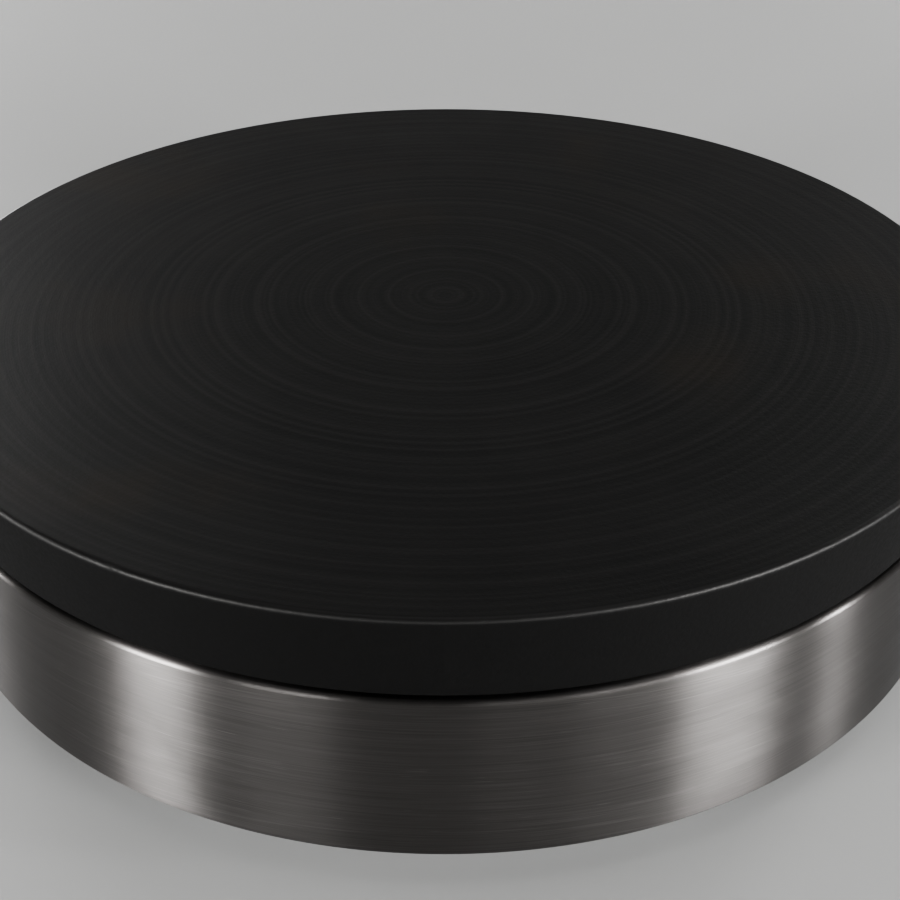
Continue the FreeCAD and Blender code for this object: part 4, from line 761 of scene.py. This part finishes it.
def rolled_thread(sheet):
    """A closed length of thread, whose groove climbs one pitch in each turn."""
    columns = 36
    rows = 72
    low = thread_low * MM
    high = thread_high * MM
    crest = thread_radius * MM
    grid = []
    for j in range(rows + 1):
        z = low + (high - low) * j / rows
        line = []
        for k in range(columns):
            phase = (z / thread_pitch - k / columns) % 1
            groove = min(1, max(0, 1.35 - abs(phase - 0.5) * 3.2))
            radius = crest - thread_depth * groove
            angle = 2 * math.pi * k / columns
            line.append(sheet.verts.new((radius * math.cos(angle), radius * math.sin(angle), z)))
        grid.append(line)
    for first, second in zip(grid, grid[1:]):
        for k in range(columns):
            m = (k + 1) % columns
            sheet.faces.new((first[k], first[m], second[m], second[k]))
    sheet.faces.new(list(reversed(grid[0])))
    sheet.faces.new(grid[-1])


def threaded_stud(foot, x, y):
    """A levelling stud: disc, neck, chamfered hexagon and a rolled thread."""
    sheet = bmesh.new()
    lathe(sheet, rounded([(0, disc_low, 0), (disc_radius, disc_low, 0.5), (disc_radius, disc_high, 0.5),
                          (neck_radius, disc_high, 0.3), (neck_radius, neck_high, 0),
                          (0, neck_high, 0)], 4), 48)
    sheet.from_mesh(chamfered_hexagon())
    rolled_thread(sheet)
    lathe(sheet, rounded([(0, 20.5, 0), (3.6, 20.5, 0), (thread_radius, 20.9, 0),
                          (thread_radius, shank_high, 0.8), (0, shank_high, 0)], 4), 36)
    bmesh.ops.translate(sheet, vec=(x, y, 0), verts=sheet.verts)
    piece = smooth_piece(f"{foot}_threaded_stud", sheet, materials["fasteners"],
                         f"{foot}_stud", 35)
    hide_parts(f"{foot}_foot_stud")


def grooved_pad(foot, x, y):
    """A rubber foot with gripping rings underneath."""
    grooves = []
    for radius in (4.0, 8.6, 13.2):
        grooves += [(radius, 0, 0.2), (radius + 0.15, 0.7, 0.2), (radius + 1.15, 0.7, 0.2),
                    (radius + 1.3, 0, 0.2)]
    outline = [(0, 0, 0)] + grooves + [
        (pad_radius, 0, 0.7), (18.6, 1.9, 0.5), (17.7, 2.3, 0.4), (16.0, pad_height, 1.2),
        (4.65, pad_height, 0.3), (4.65, 4.1, 0), (8.05, 4.1, 0), (8.05, disc_low, 0), (0, disc_low, 0),
    ]
    sheet = bmesh.new()
    lathe(sheet, rounded(outline, 3), 64, x, y)
    piece = smooth_piece(f"{foot}_grooved_pad", sheet, materials["foot_rubber"],
                         f"{foot}_pad", 50)
    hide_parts(f"{foot}_foot_pad")


def dress_feet():
    """Every foot's stud and pad."""
    for foot in ("front_left", "front_right", "rear_right", "rear_left"):
        low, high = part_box(f"{foot}_foot_pad")
        x = (low.x + high.x) / 2
        y = (low.y + high.y) / 2
        threaded_stud(foot, x, y)
        grooved_pad(foot, x, y)


def dress_nodes():
    """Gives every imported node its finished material."""
    slot_of = {part["node"]: part["material_slot"] for part in frame["record"]["subparts"]}
    for name, node in frame["nodes"].items():
        for holder in node.material_slots:
            holder.material = materials[slot_of[name]]


def place_camera():
    """The photograph's camera."""
    data = bpy.data.cameras.new("photo_camera")
    data.lens = camera_lens
    camera = bpy.data.objects.new("photo_camera", data)
    bpy.context.scene.collection.objects.link(camera)
    target = Vector((0, camera_side, plate_top - camera_drop))
    back = Vector((math.cos(camera_elevation), 0, math.sin(camera_elevation)))
    camera.location = target + back * camera_distance
    camera.rotation_mode = "QUATERNION"
    camera.rotation_quaternion = (-back).to_track_quat("-Z", "Y")
    bpy.context.scene.camera = camera


def area_light(name, azimuth, elevation, distance, width, height, power, aim=None):
    """A soft rectangular light. The azimuth runs from +X towards +Y."""
    data = bpy.data.lights.new(name, "AREA")
    data.shape = "RECTANGLE"
    data.size = width
    data.size_y = height
    data.energy = power
    light = bpy.data.objects.new(name, data)
    bpy.context.scene.collection.objects.link(light)
    aim = Vector(aim or (0, 0, plate_top / 2))
    a = math.radians(azimuth)
    e = math.radians(elevation)
    direction = Vector((math.cos(a) * math.cos(e), math.sin(a) * math.cos(e), math.sin(e)))
    light.location = aim + direction * distance
    light.visible_camera = False
    light.rotation_mode = "QUATERNION"
    light.rotation_quaternion = (-direction).to_track_quat("-Z", "Y")


def standing_strip(name, first, last, watts_per_degree):
    """A low soft box standing on the floor between two azimuths seen from the drum."""
    wide = 2 * strip_distance * math.tan(math.radians(last - first) / 2)
    power = watts_per_degree * (last - first)
    area_light(name, (first + last) / 2, 0, strip_distance, wide, strip_height, power,
               aim=(0, 0, strip_height / 2 + 0.01))


def light_studio():
    """Soft boxes all round that give the drum bright and dark bands, a soft top light, a dim room."""
    world = bpy.data.worlds.new("studio")
    world.use_nodes = True
    world.node_tree.nodes["Background"].inputs["Color"].default_value = rgb(0.32, 0.325, 0.33)
    world.node_tree.nodes["Background"].inputs["Strength"].default_value = 0.15
    bpy.context.scene.world = world
    bpy.context.scene.view_settings.view_transform = "AgX"
    bpy.context.scene.view_settings.look = "AgX - Medium High Contrast"
    for name, first, last, watts_per_degree in standing_strips:
        standing_strip(name, first, last, watts_per_degree)
    area_light("overhead", 90, 82, 1.9, 1.0, 2.2, 9)


def pale_floor():
    """Matt grey paint with a faint cloudiness."""
    material, tree, shader = new_material("pale_floor", Specular_IOR_Level=0.3)
    place = object_place(tree)
    cloud = noise(tree, place, 3.0, 3.0, 0.5)
    fine = noise(tree, place, 500.0, 3.0, 0.6)
    colour = blend_colour(tree, cloud, rgb(0.41, 0.41, 0.406), rgb(0.44, 0.44, 0.436))
    finish_shader(tree, shader, colour, span(tree, fine, 0.3, 0.7, 0.5, 0.6),
                  bump(tree, fine, 0.05 * MM, 0.3))
    return material


def lay_floor():
    """A plain pale floor that curves up all round, far from the object."""
    sheet = bmesh.new()
    reach = 3.4
    bend = 1.0
    rows = [Vector((0.001, 0.0)), Vector((0.6, 0.0)), Vector((1.4, 0.0)), Vector((reach - bend, 0.0))]
    for step in range(1, 13):
        angle = math.pi / 2 * step / 12
        rows.append(Vector((reach - bend + bend * math.sin(angle), bend - bend * math.cos(angle))))
    rows.append(Vector((reach, 2.6)))
    rings = []
    for k in range(96):
        c = math.cos(2 * math.pi * k / 96)
        s = math.sin(2 * math.pi * k / 96)
        rings.append([sheet.verts.new((row.x * c, row.x * s, row.y)) for row in rows])
    for ring, following in zip(rings, rings[1:] + rings[:1]):
        for j in range(len(rows) - 1):
            sheet.faces.new((ring[j], following[j], following[j + 1], ring[j + 1]))
    sheet.faces.new([ring[0] for ring in rings])
    bmesh.ops.recalc_face_normals(sheet, faces=sheet.faces)
    mesh = bpy.data.meshes.new("studio_floor")
    sheet.to_mesh(mesh)
    sheet.free()
    mesh.shade_smooth()
    floor = bpy.data.objects.new("studio_floor", mesh)
    bpy.context.scene.collection.objects.link(floor)
    mesh.materials.append(pale_floor())


dress_nodes()
steel_drum()
dial_marks()
pointer_inlay()
rocker_marks()
base_screws()
dress_feet()
place_camera()
light_studio()
lay_floor()
